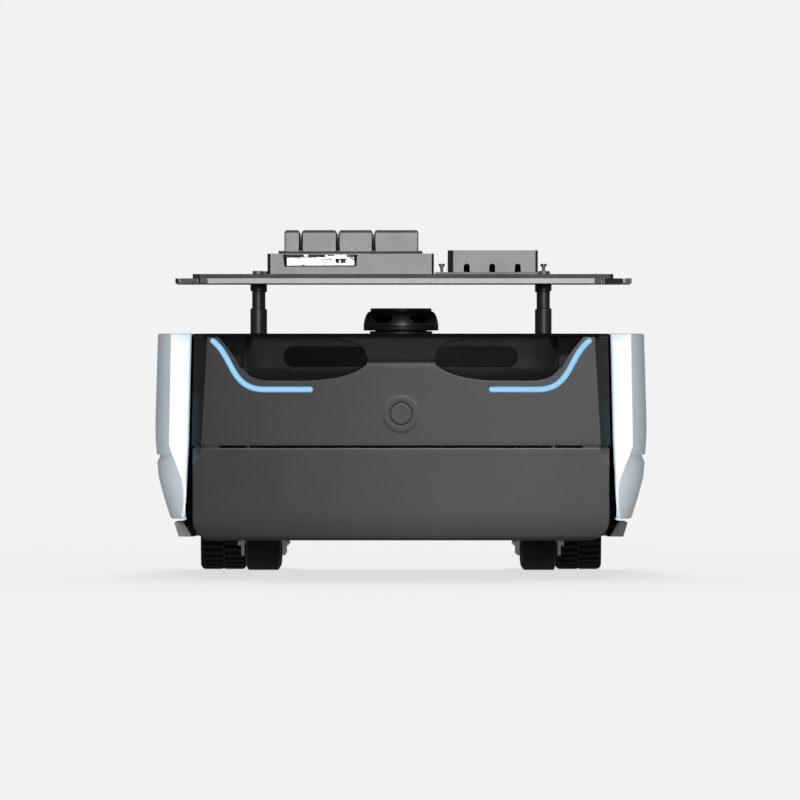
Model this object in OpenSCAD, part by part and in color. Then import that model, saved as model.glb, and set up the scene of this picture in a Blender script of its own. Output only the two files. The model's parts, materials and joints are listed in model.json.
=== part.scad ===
// Two-wheel indoor robot base. Two sprung hub-motor wheels drive it, four swivel casters
// balance it, and four posts on its deck carry a plate with a computer and an interface box.
// The front faces -Y, +Z is up, and the origin is on the floor below the middle of the body.

/* [Body] */
// Length of the body, front to back
body_len = 544; // [536:1:552]
// Height of the top of the deck above the floor
deck_z = 237; // [236:1:240]
// Width of the dark body between the side covers
body_w = 415; // [413:1:415]
// How far the middle of the front and rear stands out beyond the corners
bow = 6; // [4:1:8]
// Wall thickness of the moulded covers
wall = 3; // [2.5:0.5:3.5]
// Height of the seam between the front cover and the bumper
seam_z = 123.5; // [122:0.5:125]
// Height of the seam
seam_gap = 2; // [1.5:0.5:2.5]

/* [Bumper] */
// Width of the bumper across its widest part
bumper_w = 417; // [415:1:417]
// Height of the lower edge of the bumper above the floor
bumper_z = 30; // [29:1:32]
// How far the bumper can be pushed in
bumper_travel = 5; // [3:1:5]
// Wall thickness of the bumper
bumper_wall = 4; // [3.5:0.5:4]

/* [Side covers] */
// Half the overall width of the object
side_x = 246.5; // [245:0.5:248]
// Distance from the middle to the inner edge of a side cover
side_inner_x = 209.5; // [209.5:0.5:210.5]
// Length of the side covers
side_len = 472; // [466:1:476]
// Height of the lower edge of the side covers
side_z = 51.5; // [50:0.5:53]

/* [Drive wheels] */
// Diameter of the drive tyres
tyre_d = 170; // [168:1:172]
// Width of the drive tyres
tyre_w = 46.5; // [44:0.5:46.5]
// Distance between the middles of the two drive tyres
track = 357; // [355:1:358]
// Diameter of the steel axle of a hub motor
axle_d = 16; // [14:1:18]

/* [Casters] */
// Diameter of the caster wheels
caster_d = 62; // [60:1:63]
// Distance between the left and right casters
caster_track = 276; // [270:2:280]
// Distance from the middle to the swivel axis of a caster, front to back
caster_y = 190; // [188:1:192]
// Trail of a caster: how far the wheel's axle lies behind the swivel axis
caster_trail = 22; // [18:1:23]

/* [Cameras and lights] */
// Length of a camera window
window_l = 86.3; // [80:0.1:87]
// Height of a camera window
window_h = 20.5; // [18:0.5:21]
// Width of a light strip
strip_w = 5.8; // [5:0.1:6]
// Diameter of the power button
button_d = 21.4; // [20:0.2:22]
// How far the power button can be pushed in
button_travel = 1.5; // [1:0.5:2]

/* [Payload] */
// Height of the underside of the payload plate
plate_z = 287.5; // [286:0.5:290]
// Distance between the left and right posts
post_dx = 287; // [280:1:290]
// Distance between the front and rear posts
post_dy = 300; // [290:2:310]
// Depth of the payload plate, front to back
plate_len = 380; // [360:5:400]
// Hole-to-hole distance across the free end of the payload plate
payload_dx = 200; // [180:5:220]
// Hole-to-hole distance along the free end of the payload plate
payload_dy = 100; // [90:5:110]

/* [Hidden] */
$fn = 64;

// Colours
charcoal = "#4a4a4c";
black = "#141416";
gloss_white = "#eef2f4";
dark_grey = "#5c5c60";
light_grey = "#b8b8ba";
steel = "#a9acb0";
aluminium = "#c4c6c9";
rubber = "#1b1b1c";

// Body
half_len = body_len / 2;
half_w = body_w / 2;
deck_t = 3;
cover_top = deck_z - deck_t - 0.2;
cover_z = seam_z + seam_gap / 2;
bumper_top = seam_z - seam_gap / 2;
corner_r = 3;
wing_slant = 10;
wing_y = -222;
body_gap = 0.2;

// Chassis tray and the raised brackets over the casters
tray_z = 34;
sheet_t = 4;
bay_y = 122;
bay_z = 74;
bracket_end_y = 250;
bracket_x = 194;
tray_x = 206;
notch_x = 150;
notch_y = 93;

// Inner frame
rail_x = 125;
rail_s = 20;
rail_end = 230;
rail_z = deck_z - deck_t - rail_s - 0.1;
pillar_y = 150;
seat_z = 198;

// Suspension
wheel_x = track / 2;
wheel_r = tyre_d / 2;
axle_z = wheel_r;
rim_r = 64;
arm_x0 = 138;
arm_x1 = 146;
pivot_y = -95;
pivot_z = 78;
pivot_r = 5;
spring_x = 142;
spring_y = 70;
spring_low_z = 110;
running = 0.05;

// Casters
caster_x = caster_track / 2;
caster_r = caster_d / 2;
caster_w = 35.5;
caster_axle_r = 4;
fork_top = 68;

// Camera pods
pod_low_z = 189;
pod_inner = [29, 20];
pod_deep = [124, 32];
pod_round = 30;
pod_yaw = atan2(pod_deep.y - pod_inner.y, pod_deep.x - pod_inner.x);
window_z = 213.75;
window_start = 2.6;
window_t = 2;
bridge_z = 206;
bridge_x = 62;
bridge_depth = 14;

// Body side panels and the sills along them
sill_z = 33.5;
panel_x = 207.3;
panel_t = 1.5;
panel_y = 201;
panel_top = deck_z - deck_t - 1;

// Light strips
strip_t = 2.2;
strip_z = 181;
strip_end_x = 91;
strip_proud = 0.6;
fit_gap = 0.15;

// Power button and its bezel
button_z = 156.5;
button_r = button_d / 2;
bezel_r = 19;
bezel_proud = 1.3;
button_fit = 0.1;

// Scanner
lidar_r = 37.75;
lidar_base_r = 31.5;
lidar_cap_r = 30.8;
lidar_base_z = deck_z + 3;
lidar_low = lidar_base_z + 0.6;
lidar_top = lidar_low + 19.4;
lidar_cap_top = lidar_top + 3;
spindle_r = 10;
lens_x = 18;
lens_r = 36.9;
lens_z = 252.3;

// Charge contacts in the rear cover
contact_z = [78, 96];
contact_l = 90;
contact_w = 8;

// Plates and what stands on them
plate_t = 5;
top_plate_z = plate_z + plate_t + 0.1;
top_plate_t = 4.3;
top_z = top_plate_z + top_plate_t;
plate_shift = 2.5;
post_r = 7.7;
post_neck_r = 6;
screw_r = 2.9;
computer_x = [-134, 33];
computer_y = [-165, -35];
computer_h = 20.5;
heatsink_x = [-117, 17.5];
heatsink_z = top_z + computer_h + 0.4;
heatsink_top = 341;
box_x = [47, 137.5];
box_y = [-138, -38];
box_base_t = 2;
box_z = top_z + box_base_t;
box_h = 22;
box_screw_x = [41, 143.5];
box_screw_y = [-124, -52];

// ---------- drawing helpers ----------

// Points of an arc, both ends included
function arc(c, r, a0, a1, n = 8) =
  [for (i = [0:n]) c + r * [cos(a0 + (a1 - a0) * i / n), sin(a0 + (a1 - a0) * i / n)]];

// Points of a cubic curve, both ends included
function curve(p, n = 12) =
  [for (i = [0:n]) let (t = i / n, s = 1 - t)
    p[0] * s * s * s + p[1] * 3 * s * s * t + p[2] * 3 * s * t * t + p[3] * t * t * t];

// A list of points with x and y swapped in sign for the other side
function mirrored(points) = [for (i = [len(points) - 1:-1:0]) [-points[i].x, points[i].y]];

// Extrude a plan drawing from z0 up to z1
module slab(z0, z1) translate([0, 0, z0]) linear_extrude(z1 - z0) children();

// Extrude a side drawing (y, z) from x0 to x1
module across(x0, x1) translate([x0, 0, 0]) rotate([90, 0, 90]) linear_extrude(x1 - x0) children();

// Extrude a front drawing (x, z) from y0 to y1
module along(y0, y1) translate([0, y1, 0]) rotate([90, 0, 0]) linear_extrude(y1 - y0) children();

// A box given by its lowest and highest corner
module block(low, high) translate(low) cube(high - low);

// A cylinder along X
module rod_x(x0, x1, r, y, z) translate([x0, y, z]) rotate([0, 90, 0]) cylinder(h = x1 - x0, r = r);

// A cylinder along Y
module rod_y(y0, y1, r, x, z) translate([x, y0, z]) rotate([-90, 0, 0]) cylinder(h = y1 - y0, r = r);

// A copy on each side of the middle
module both_sides() {
  children();
  mirror([1, 0, 0]) children();
}

// A copy at each corner of a rectangle
module corners(dx, dy) for (sx = [-1, 1], sy = [-1, 1]) translate([sx * dx / 2, sy * dy / 2, 0]) children();

// A straight bar of a flat drawing, with round ends
module link(a, b, w) {
  d = b - a;
  translate(a) rotate(atan2(d.y, d.x)) translate([0, -w / 2]) square([norm(d), w]);
  translate(a) circle(d = w);
  translate(b) circle(d = w);
}

// Everything on the outer side of the plane through three points
module beyond(p0, p1, p2, size = 200) {
  n = cross(p1 - p0, p2 - p0) / norm(cross(p1 - p0, p2 - p0));
  translate(p0) rotate([0, -asin(n.z), atan2(n.y, n.x)]) translate([0, -size, -size])
    cube([size, 2 * size, 2 * size]);
}

// ---------- body outlines ----------

// The front face in plan: y at a given x
function face_y(x, half) = -half_len + bow * pow(x / half, 2);

// Plan outline of the front end, moved inwards by inset, and reaching back to back_y.
// Its sides slant in towards the face by slant.
function end_outline(half, corner, inset, back_y, slant = 0) =
  let (
    h = half - inset,
    r = max(corner - inset, 1),
    flat_x = h - slant - r,
    y_c = face_y(flat_x, half) + inset + r,
    turn = atan2(slant, wing_y - y_c),
    bowed = [for (i = [1:11]) let (x = -flat_x + 2 * flat_x * i / 12) [x, face_y(x, half) + inset]],
    left = arc([-flat_x, y_c], r, 180 + turn, 270),
    right = arc([flat_x, y_c], r, 270, 360 - turn),
    wing = back_y > wing_y + 1 ? [[h, wing_y]] : []
  ) concat([[-h, back_y]], [for (w = wing) [-w.x, w.y]], left, bowed, right, wing, [[h, back_y]]);

module front_outline(inset, back_y = wing_y)
  polygon(end_outline(half_w, corner_r, inset, back_y, wing_slant));

module bumper_outline(inset, back_y = wing_y) polygon(end_outline(bumper_w / 2, 6, inset, back_y));

// A band that follows the bowed front face, from proud of it to deep behind it
module face_band(proud, deep) difference() {
  polygon(end_outline(half_w, corner_r, -proud, wing_y, wing_slant));
  polygon(end_outline(half_w, corner_r, deep, wing_y + 1, wing_slant));
}

// Plan of the whole body, used by the deck
module deck_outline(inset) for (flip = [0, 1]) mirror([0, flip]) front_outline(inset, 1);

// ---------- camera pods, light strips and the scoop between the pods ----------

// Plan of the space in front of a pod's back wall: straight, then curving out to the face
module pod_plan() {
  start = [pod_inner.x, -half_len + pod_inner.y];
  turn = [pod_deep.x, -half_len + pod_deep.y];
  centre = turn + pod_round * [sin(pod_yaw), -cos(pod_yaw)];
  round_wall = arc(centre, pod_round, 90 + pod_yaw, 0, 14);
  front_y = -half_len - 10;
  polygon(concat([[start.x, front_y], start], round_wall, [[centre.x + pod_round, front_y]]));
}

// Front view of a pod, a leaf open at its top
module pod_front() {
  top = cover_top + 1;
  outer = curve([[158, top], [162, 226], [161, 212], [159, 203]], 5);
  lower_outer = curve([[159, 203], [155, 194], [147, 190], [132, pod_low_z]]);
  lower_inner = curve([[94, pod_low_z], [58, 190], [30, 200], [31, 215]]);
  upper_inner = curve([[31, 215], [32, 228], [44, 233], [bridge_x, top]], 8);
  polygon(concat(outer, lower_outer, lower_inner, upper_inner));
}

// Side view of a pod: the ledge below its back wall leans back
module pod_side() {
  front_y = -half_len - 10;
  ledge = curve([[-half_len - 1, pod_low_z], [-half_len + 24, pod_low_z], [-half_len + 28, 191],
    [-half_len + 31, 205]], 8);
  polygon(concat([[front_y, 180]], ledge, [[-half_len + 34, cover_top + 1], [front_y, cover_top + 1]]));
}

// The space scooped out of the front cover for one pod
module pod_space() intersection() {
  slab(180, cover_top + 1) pod_plan();
  along(-half_len - 10, -half_len + 60) pod_front();
  across(0, 180) pod_side();
}

// The space between the pods: a step back at its lower edge, then a wall under the deck's lip
module bridge_space() {
  front_y = -half_len - 10;
  back_y = -half_len + bridge_depth;
  step = arc([back_y - 4, bridge_z + 4], 4, -90, 0, 5);
  across(-bridge_x, bridge_x) polygon(concat([[front_y, bridge_z]], step,
    [[back_y, cover_top + 1], [front_y, cover_top + 1]]));
}

// Moves something drawn at a pod wall's inner end, along x, to its yawed place
module on_pod_wall() translate([pod_inner.x, -half_len + pod_inner.y, window_z])
  rotate([0, 0, pod_yaw]) children();

// Camera window drawn flat, with round ends
module window_shape(gap) {
  l = window_l + 2 * gap;
  r = window_h / 2 + gap;
  translate([window_start - gap + r, -r]) square([l - 2 * r, 2 * r]);
  for (x = [window_start - gap + r, window_start - gap + l - r]) translate([x, 0]) circle(r = r);
}

// Centre line of a light strip: down the outer side of the pod, then level below it
strip_path = concat(
  curve([[188, 229.4], [167, 213], [171, strip_z], [136, strip_z]], 18),
  [[strip_end_x, strip_z]]
);

// Direction of the strip at one of its points
function strip_dir(i) =
  let (d = strip_path[min(i + 1, len(strip_path) - 1)] - strip_path[max(i - 1, 0)]) d / norm(d);

// A light strip seen from the front, made wider by gap on each side, with round ends
module strip_front(gap) {
  w = strip_w / 2 + gap;
  last = len(strip_path) - 1;
  edge = function (side)
    [for (i = [1:last - 1]) let (d = strip_dir(i)) strip_path[i] + side * w * [-d.y, d.x]];
  far = edge(-1);
  turn = function (i) let (d = strip_dir(i)) atan2(d.y, d.x);
  start = arc(strip_path[0], w, turn(0) - 90, turn(0) - 270, 10);
  end = arc(strip_path[last], w, turn(last) + 90, turn(last) - 90, 10);
  polygon(concat(start, edge(1), end, [for (i = [len(far) - 1:-1:0]) far[i]]));
}

// A light strip as a solid that follows the bowed face
module strip_solid(gap, proud, deep) intersection() {
  along(-half_len - 10, -half_len + 40) strip_front(gap);
  slab(170, cover_top) face_band(proud, deep);
}

// ---------- chassis ----------

module chassis_tray() color(aluminium) difference() {
  block([-tray_x, -bay_y, tray_z], [tray_x, bay_y, tray_z + sheet_t]);
  both_sides() block([notch_x, -notch_y, tray_z - 1], [tray_x + 1, notch_y, tray_z + sheet_t + 1]);
}

// Folded sheet: a wall up from the tray and a shelf over the casters
module caster_bracket() color(aluminium) across(-bracket_x, bracket_x) polygon([
  [-bay_y, tray_z + sheet_t], [-bay_y + 3, tray_z + sheet_t], [-bay_y + 3, bay_z + sheet_t],
  [-bracket_end_y, bay_z + sheet_t], [-bracket_end_y, bay_z], [-bay_y, bay_z]
]);

module front_caster_bracket() caster_bracket();

module rear_caster_bracket() mirror([0, 1, 0]) caster_bracket();

// Four pillars, two rails and the upper spring seats
module inner_frame() color(steel) both_sides() {
  x0 = rail_x - rail_s / 2;
  x1 = rail_x + rail_s / 2;
  block([x0, -rail_end, rail_z], [x1, rail_end, rail_z + rail_s]);
  for (y = [-pillar_y, pillar_y])
    block([x0, y - rail_s / 2, bay_z + sheet_t], [x1, y + rail_s / 2, rail_z]);
  block([x1, spring_y - 14, seat_z], [x1 + 5, spring_y + 14, rail_z + rail_s]);
  block([x1 + 5, spring_y - 14, seat_z], [spring_x + 11, spring_y + 14, seat_z + 5]);
}

module deck_plate() color(black) difference() {
  slab(deck_z - deck_t, deck_z) deck_outline(-0.3);
  deck_screw_places() {
    cylinder(h = 2 * deck_t + 1, r = 2.2, center = true);
    translate([0, 0, deck_t / 2 - 1.7]) cylinder(h = 3, r = 4.2);
  }
}

// Where the deck is screwed to the rails
module deck_screw_places() for (sx = [-1, 1], y = [-215, -90, 90, 215])
  translate([sx * rail_x, y, deck_z - deck_t / 2]) children();

module deck_screws() color(steel) deck_screw_places() difference() {
  union() {
    translate([0, 0, deck_t / 2 - 1.65]) cylinder(h = 1.6, r = 4);
    translate([0, 0, -deck_t / 2 + 0.1]) cylinder(h = deck_t - 1, r = 2);
  }
  translate([0, 0, deck_t / 2 - 1]) cylinder(h = 2, r = 1.7, $fn = 6);
}

// ---------- covers ----------

module front_cover() color(charcoal) difference() {
  union() {
    slab(cover_z, cover_top) difference() {
      front_outline(0);
      front_outline(wall, wing_y + 1);
    }
    both_sides() slab(pod_low_z - 5, cover_top) intersection() {
      front_outline(1);
      translate([24, -half_len]) square([142, 40]);
    }
    slab(bridge_z - 4, cover_top) intersection() {
      front_outline(1);
      translate([-30, -half_len]) square([60, 28]);
    }
    seam_tabs();
  }
  both_sides() {
    pod_space();
    on_pod_wall() along(-1, window_t + 0.2) window_shape(fit_gap);
    on_pod_wall() block([window_start + 3, 1, -10], [window_start + window_l - 3, 60, 10]);
    strip_solid(fit_gap, 2, strip_t + 0.2);
  }
  bridge_space();
  rod_y(-half_len - 5, -half_len + 10, bezel_r - 4, 0, button_z);
}

// Tabs below the front cover that close the ends of its seam, and one rib on each side in it
module seam_tabs() slab(bumper_top + body_gap, cover_z + 1) difference() {
  front_outline(0.3, wing_y - 2);
  front_outline(wall, wing_y + 1);
  for (side = [-1, 1]) translate([side * 90, -half_len]) square([122, 200], center = true);
  square([60, 3 * half_len], center = true);
  for (side = [-1, 1]) translate([side * 168, -half_len]) square([28, 200], center = true);
}

// The rear cover reaches down to the bumper's height, and has vents and a port opening
module rear_cover() color(charcoal) difference() {
  mirror([0, 1, 0]) slab(bumper_z + 22, cover_top) difference() {
    front_outline(0);
    front_outline(wall, wing_y + 1);
  }
  for (i = [0:9], side = [-1, 1]) translate([side * 135, 0, 168 + 5.5 * i])
    block([-32, half_len - 20, 0], [32, half_len + 1, 2.5]);
  block([-62, half_len - 20, 148], [62, half_len + 1, 186]);
  for (z = contact_z) block([-contact_l / 2 - 0.15, half_len - 20, z - contact_w / 2 - 0.15],
    [contact_l / 2 + 0.15, half_len + 5, z + contact_w / 2 + 0.15]);
}

module rear_port_panel() color(black) difference() {
  union() {
    block([-66, half_len - 12, 144], [66, half_len - 8.5, 190]);
    block([-61.7, half_len - 9, 148.3], [61.7, half_len - 1.4, 185.7]);
  }
  rod_y(half_len - 20, half_len, 6, -40, 167);
  block([-8, half_len - 9.4, 160], [8, half_len, 174]);
  block([32, half_len - 9.4, 160], [48, half_len, 174]);
}

module charge_contacts() color("#c69a52") for (z = contact_z)
  along(half_len - 4, half_len + bezel_proud) translate([0, z]) square([contact_l, contact_w], center = true);

// Front view of a side cover, moved inwards by inset; inner_x is its edge next to the body
module side_profile(inset, inner_shift) polygon([
  [side_inner_x - inner_shift, deck_z - inset],
  [side_x - 2.5 - inset, deck_z - inset],
  [side_x - inset, 150],
  [side_x - inset, 130],
  [side_x - 1 - inset, 116],
  [side_x - 4.5 - inset, 115],
  [side_x - 1.5 - inset, 108.5],
  [side_x - 3.5 - inset, 92],
  [side_x - 10.5 - inset, 70],
  [side_x - 16 - inset, side_z - (inset > 0 ? 1 : 0)],
  [side_inner_x + 7.5 - inner_shift, side_z - (inset > 0 ? 1 : 0)],
  [side_inner_x + 5.5 - inner_shift, 70],
  [side_inner_x + 2.5 - inner_shift, 130]
]);

// Plan of a side cover, moved inwards by inset
module side_plan(inset, inner_shift) {
  end_y = side_len / 2 - inset;
  bend = curve([[side_x - 16 - inset, -end_y], [side_x - 10 - inset, -end_y + 14],
    [side_x - inset, -end_y + 36], [side_x - inset, -end_y + 86]]);
  half = concat([[side_inner_x - inner_shift, -end_y]], bend);
  polygon(concat(half, [for (i = [len(half) - 1:-1:0]) [half[i].x, -half[i].y]]));
}

// The bevel on the lower corners of a side cover
module side_bevel(inset) for (flip = [0, 1]) mirror([0, flip, 0]) translate([-inset, inset, 0])
  beyond([229, -side_len / 2, 115], [218.5, -side_len / 2, 85], [246, -side_len / 2 + 46, 115]);

module side_solid(inset, inner_shift) difference() {
  intersection() {
    slab(side_z - 2, deck_z) side_plan(inset, inner_shift);
    along(-side_len, side_len) side_profile(inset, inner_shift);
  }
  side_bevel(inset);
}

module side_cover() color(gloss_white) difference() {
  side_solid(0, 0);
  side_solid(wall, 12);
}

module left_side_cover() side_cover();

module right_side_cover() mirror([1, 0, 0]) side_cover();

// A body side panel with the sill along its lower edge. Its folded ends close the gap between the
// bumper or the front cover and the side cover.
module sill() color(dark_grey) {
  along(-188, 188) polygon([[206.5, sill_z], [223, sill_z], [227.5, sill_z + 14.5], [217, sill_z + 14.5]]);
  along(-panel_y, panel_y) translate([panel_x, sill_z + 1]) square([panel_t, panel_top - sill_z - 1]);
  for (y = [-panel_y, panel_y - panel_t]) along(y, y + panel_t) polygon([
    [panel_x, sill_z + 1], [panel_x + 1.8, sill_z + 2], [side_inner_x + 4, sill_z + 10],
    [side_inner_x + 4, 130], [side_inner_x + 2.5, panel_top], [panel_x, panel_top]
  ]);
}

module left_sill() sill();

module right_sill() mirror([1, 0, 0]) sill();

module light_strip() color("#8fd0ff") strip_solid(0, strip_proud, strip_t);

module left_light_strip() light_strip();

module right_light_strip() mirror([1, 0, 0]) light_strip();

module camera_window() color(black) on_pod_wall() along(0.05, window_t) window_shape(0);

module left_camera_window() camera_window();

module right_camera_window() mirror([1, 0, 0]) camera_window();

// A stereo depth camera: body and three lenses close behind the window
module depth_camera() color(dark_grey) on_pod_wall() {
  mid = window_start + window_l / 2;
  block([mid - 38, 6, -9.5], [mid + 38, 26, 9.5]);
  for (x = [mid - 28, mid - 6, mid + 18]) rod_y(3, 6, 4, x, 0);
}

module left_depth_camera() depth_camera();

module right_depth_camera() mirror([1, 0, 0]) depth_camera();

// ---------- power button ----------

// A ring on the face with a sleeve through it, which the button slides in
module button_bezel() color(dark_grey) difference() {
  union() {
    rod_y(-half_len - bezel_proud, -half_len - body_gap, bezel_r, 0, button_z);
    rod_y(-half_len - 1, -half_len + 10, bezel_r - 4.2, 0, button_z);
  }
  rod_y(-half_len - 5, -half_len - 0.3, button_r + 2.5, 0, button_z);
  rod_y(-half_len - 5, -half_len + 11, button_r + button_fit, 0, button_z);
}

module power_button() color(charcoal)
  rod_y(-half_len - bezel_proud + 0.1, -half_len + 8, button_r, 0, button_z);

// ---------- bumper ----------

// Front view of the bumper, moved inwards by inset
module bumper_front(inset) {
  half = bumper_w / 2 - inset;
  r = 20 - inset;
  shoulder = half - 8.5;
  round_corner = arc([half - r, bumper_z + inset + r], r, 0, -90);
  right = concat([[shoulder, bumper_top - inset], [shoulder, 118.5], [half, 105]], round_corner);
  polygon(concat(right, mirrored(right)));
}

// A shell open at the back, with its floor cut short so that the casters can swivel
module bumper() color(charcoal) {
  difference() {
    intersection() {
      slab(bumper_z, bumper_top) bumper_outline(0);
      along(-half_len - 1, 0) bumper_front(0);
    }
    intersection() {
      slab(bumper_z, bumper_top) bumper_outline(bumper_wall, wing_y + 1);
      along(-half_len - 1, 0) bumper_front(bumper_wall);
    }
    block([-bumper_w / 2 + bumper_wall, -half_len + 14, bumper_z - 1],
      [bumper_w / 2 - bumper_wall, 0, bumper_z + bumper_wall + 1]);
  }
  for (x = [-150, 150]) rod_y(-half_len + bumper_wall, -half_len + 38, 4, x, 98);
}

// Blocks on the front shelf that the bumper's two pins slide in
module bumper_guides() color(black) both_sides() difference() {
  block([140, -bracket_end_y, bay_z + sheet_t], [160, -bracket_end_y + 14, 108]);
  rod_y(-bracket_end_y - 1, -bracket_end_y + 15, 4 + running, 150, 98);
}

// ---------- scanner ----------

module lidar_base() color(black) {
  translate([0, 0, deck_z + 0.02]) cylinder(h = lidar_base_z - deck_z, r = lidar_base_r);
  translate([0, 0, lidar_base_z]) cylinder(h = 10, r = spindle_r);
}

// The turning head: a drum with round shoulders and a low cap, hollow over the spindle
module lidar_head() color(black) difference() {
  rotate_extrude() polygon(concat(
    [[0, lidar_low]],
    arc([lidar_r - 1, lidar_low + 1], 1, -90, 0, 3),
    curve([[lidar_r, lidar_low + 5], [lidar_r - 0.8, lidar_top - 6.5], [lidar_r - 3, lidar_top - 0.5],
      [lidar_cap_r, lidar_top]], 8),
    arc([lidar_cap_r - 1, lidar_cap_top - 1], 1, 0, 90, 3),
    [[0, lidar_cap_top]]
  ));
  translate([0, 0, lidar_low - 1]) cylinder(h = 12, r = spindle_r + 0.1);
  lens_pair(0.1, 2.6);
}

// The two oval lenses in the front of the head
module lens_pair(gap, depth) intersection() {
  both_sides() along(-lidar_r - 1, 0) translate([lens_x, lens_z]) {
    square([20 - 6.7, 6.7 + 2 * gap], center = true);
    for (x = [-6.65, 6.65]) translate([x, 0]) circle(r = 3.35 + gap);
  }
  translate([0, 0, lens_z - 5]) difference() {
    cylinder(h = 10, r1 = lens_r + (gap > 0 ? 3 : 0), r2 = lens_r - 1.2 + (gap > 0 ? 4.2 : 0));
    translate([0, 0, -1]) cylinder(h = 12, r = lidar_r - depth - 4);
  }
}

module lidar_lenses() color("#2a2440") lens_pair(0, 2.4);

// ---------- payload ----------

module support_posts() color(dark_grey) corners(post_dx, post_dy) difference() {
  union() {
    translate([0, 0, deck_z]) cylinder(h = 25.5, r = post_r);
    translate([0, 0, deck_z + 25]) cylinder(h = 20, r = post_neck_r);
    translate([0, 0, deck_z + 43]) cylinder(h = plate_z - deck_z - 43, r = post_r);
  }
  translate([0, 0, plate_z - 20]) cylinder(h = 21, r = screw_r + 0.02);
}

module post_screws() color(steel) corners(post_dx, post_dy) difference() {
  union() {
    translate([0, 0, plate_z - 12]) cylinder(h = top_z - plate_z + 12.5, r = screw_r);
    translate([0, 0, top_z]) cylinder(h = 3.2, r = 5.5);
  }
  translate([0, 0, top_z + 1.5]) cylinder(h = 3, r = 2.3, $fn = 6);
}

// The holes that both plates share
module plate_holes() {
  corners(post_dx, post_dy) circle(r = screw_r + 0.15);
  translate([0, 110]) corners(payload_dx, payload_dy) circle(r = 2.25);
}

module adapter_plate() color(light_grey) slab(plate_z, plate_z + plate_t) difference() {
  translate([plate_shift, 0]) square([457.6, plate_len], center = true);
  plate_holes();
  for (x = [-223, -202.5, 202.5, 223.7], y = [-1, 1]) translate([x, y * plate_len / 2])
    square([2, 60], center = true);
}

module top_plate() color("#424244") slab(top_plate_z, top_z) difference() {
  translate([plate_shift - 0.5, 0]) square([422, plate_len - 20], center = true);
  plate_holes();
}

// Computer housing: a tray with side feet and a recessed bay for its sockets
module computer_case() color("#8f8f92") {
  difference() {
    block([computer_x[0], computer_y[0], top_z + 0.05], [computer_x[1], computer_y[1], top_z + computer_h]);
    block([computer_x[0] + 3, computer_y[0] + 22, top_z + 3],
      [computer_x[1] - 3, computer_y[1] - 3, top_z + computer_h + 1]);
    block([-117, computer_y[0] - 1, top_z + 7.5], [-45, computer_y[0] + 23, top_z + 19.5]);
  }
  for (y = [-128, -64]) block([-147, y, top_z + 0.05], [computer_x[0], y + 14, top_z + 3]);
}

// Finned heat sink: ribs of four widths on a base plate, joined by a wall near their back ends
module computer_heatsink() color("#9b9b9d") {
  ribs = [[heatsink_x[0], -101.5], [-99.5, -64.5], [-62.5, -28.5], [-26.5, heatsink_x[1]]];
  back_y = computer_y[1] - 6;
  block([heatsink_x[0] - 6, computer_y[0] + 3, heatsink_z],
    [heatsink_x[1] + 4, computer_y[1] - 3, heatsink_z + 2.6]);
  for (r = ribs) along(computer_y[0] + 2, computer_y[1] - 2) {
    w = r[1] - r[0];
    translate([r[0], heatsink_z]) square([w, heatsink_top - heatsink_z - 3]);
    translate([r[0] + 3, heatsink_z]) square([w - 6, heatsink_top - heatsink_z]);
    for (x = [r[0] + 3, r[1] - 3]) translate([x, heatsink_top - 3]) circle(r = 3);
  }
  block([heatsink_x[0] + 4, back_y - 6, heatsink_z], [heatsink_x[1] - 4, back_y, heatsink_top - 3]);
}

// Two network sockets, a pair of USB sockets and a power socket, side by side
module computer_ports() color(steel) difference() {
  block([-116.8, computer_y[0] + 1, top_z + 7.7], [-45.2, computer_y[0] + 21, top_z + 19.3]);
  for (x = [-114, -98]) block([x, computer_y[0], top_z + 9], [x + 13, computer_y[0] + 11, top_z + 18]);
  for (x = [-81, -66]) block([x, computer_y[0], top_z + 10.5], [x + 12, computer_y[0] + 11, top_z + 15.5]);
  rod_y(computer_y[0], computer_y[0] + 11, 3.2, -49.5, top_z + 13.5);
}

module interface_base() color(dark_grey) difference() {
  block([34, box_y[0] + 1, top_z + 0.05], [150, box_y[1] - 1, box_z]);
  box_screw_holes(1.6);
}

module interface_box() color("#848487") {
  difference() {
    block([box_x[0], box_y[0], box_z + 0.05], [box_x[1], box_y[1], box_z + box_h]);
    block([box_x[0] + 2, box_y[0] + 2, box_z - 1], [box_x[1] - 2, box_y[1] - 2, box_z + box_h - 2]);
    for (x = [66, 91.6, 117.3]) along(box_y[0] - 1, box_y[0] + 3) translate([x, box_z - 1]) {
      translate([-3, 0]) square([6, 6.6]);
      translate([0, 6.6]) circle(r = 3);
    }
  }
}

// Where the interface box's screws stand
module box_screw_holes(r) for (x = box_screw_x, y = box_screw_y)
  translate([x, y, top_z - 1]) cylinder(h = 12, r = r);

module interface_screws() color(steel) for (x = box_screw_x, y = box_screw_y) translate([x, y, 0]) {
  translate([0, 0, top_z + 0.1]) cylinder(h = 8.5, r = 1.5);
  translate([0, 0, top_z + 8]) cylinder(h = 2.5, r = 3);
}

// ---------- inside the body ----------

module battery_pack() color("#2c4a63") {
  block([-62, -60, tray_z + sheet_t], [62, 112, 122]);
  block([-20, -60.5, 122], [20, -40, 130]);
}

// Circuit board on four spacers, with its larger parts
module control_board() color("#1f5a3a") {
  translate([0, 190, 0]) {
    block([-70, -38, 90], [70, 38, 91.6]);
    corners(126, 62) translate([0, 0, bay_z + sheet_t]) cylinder(h = 90 - bay_z - sheet_t, r = 3);
    block([-20, -15, 91.6], [20, 15, 96]);
    block([-64, -30, 91.6], [-40, 10, 104]);
    block([35, -34, 91.6], [66, -20, 103]);
  }
}

// Two-channel motor driver with a finned back
module motor_driver() color(black) {
  block([-55, -112, tray_z + sheet_t], [55, -72, 60]);
  for (i = [0:8]) block([-54 + 13 * i, -112, 60], [-50 + 13 * i, -72, 72]);
}

// ---------- suspension and drive ----------

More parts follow.
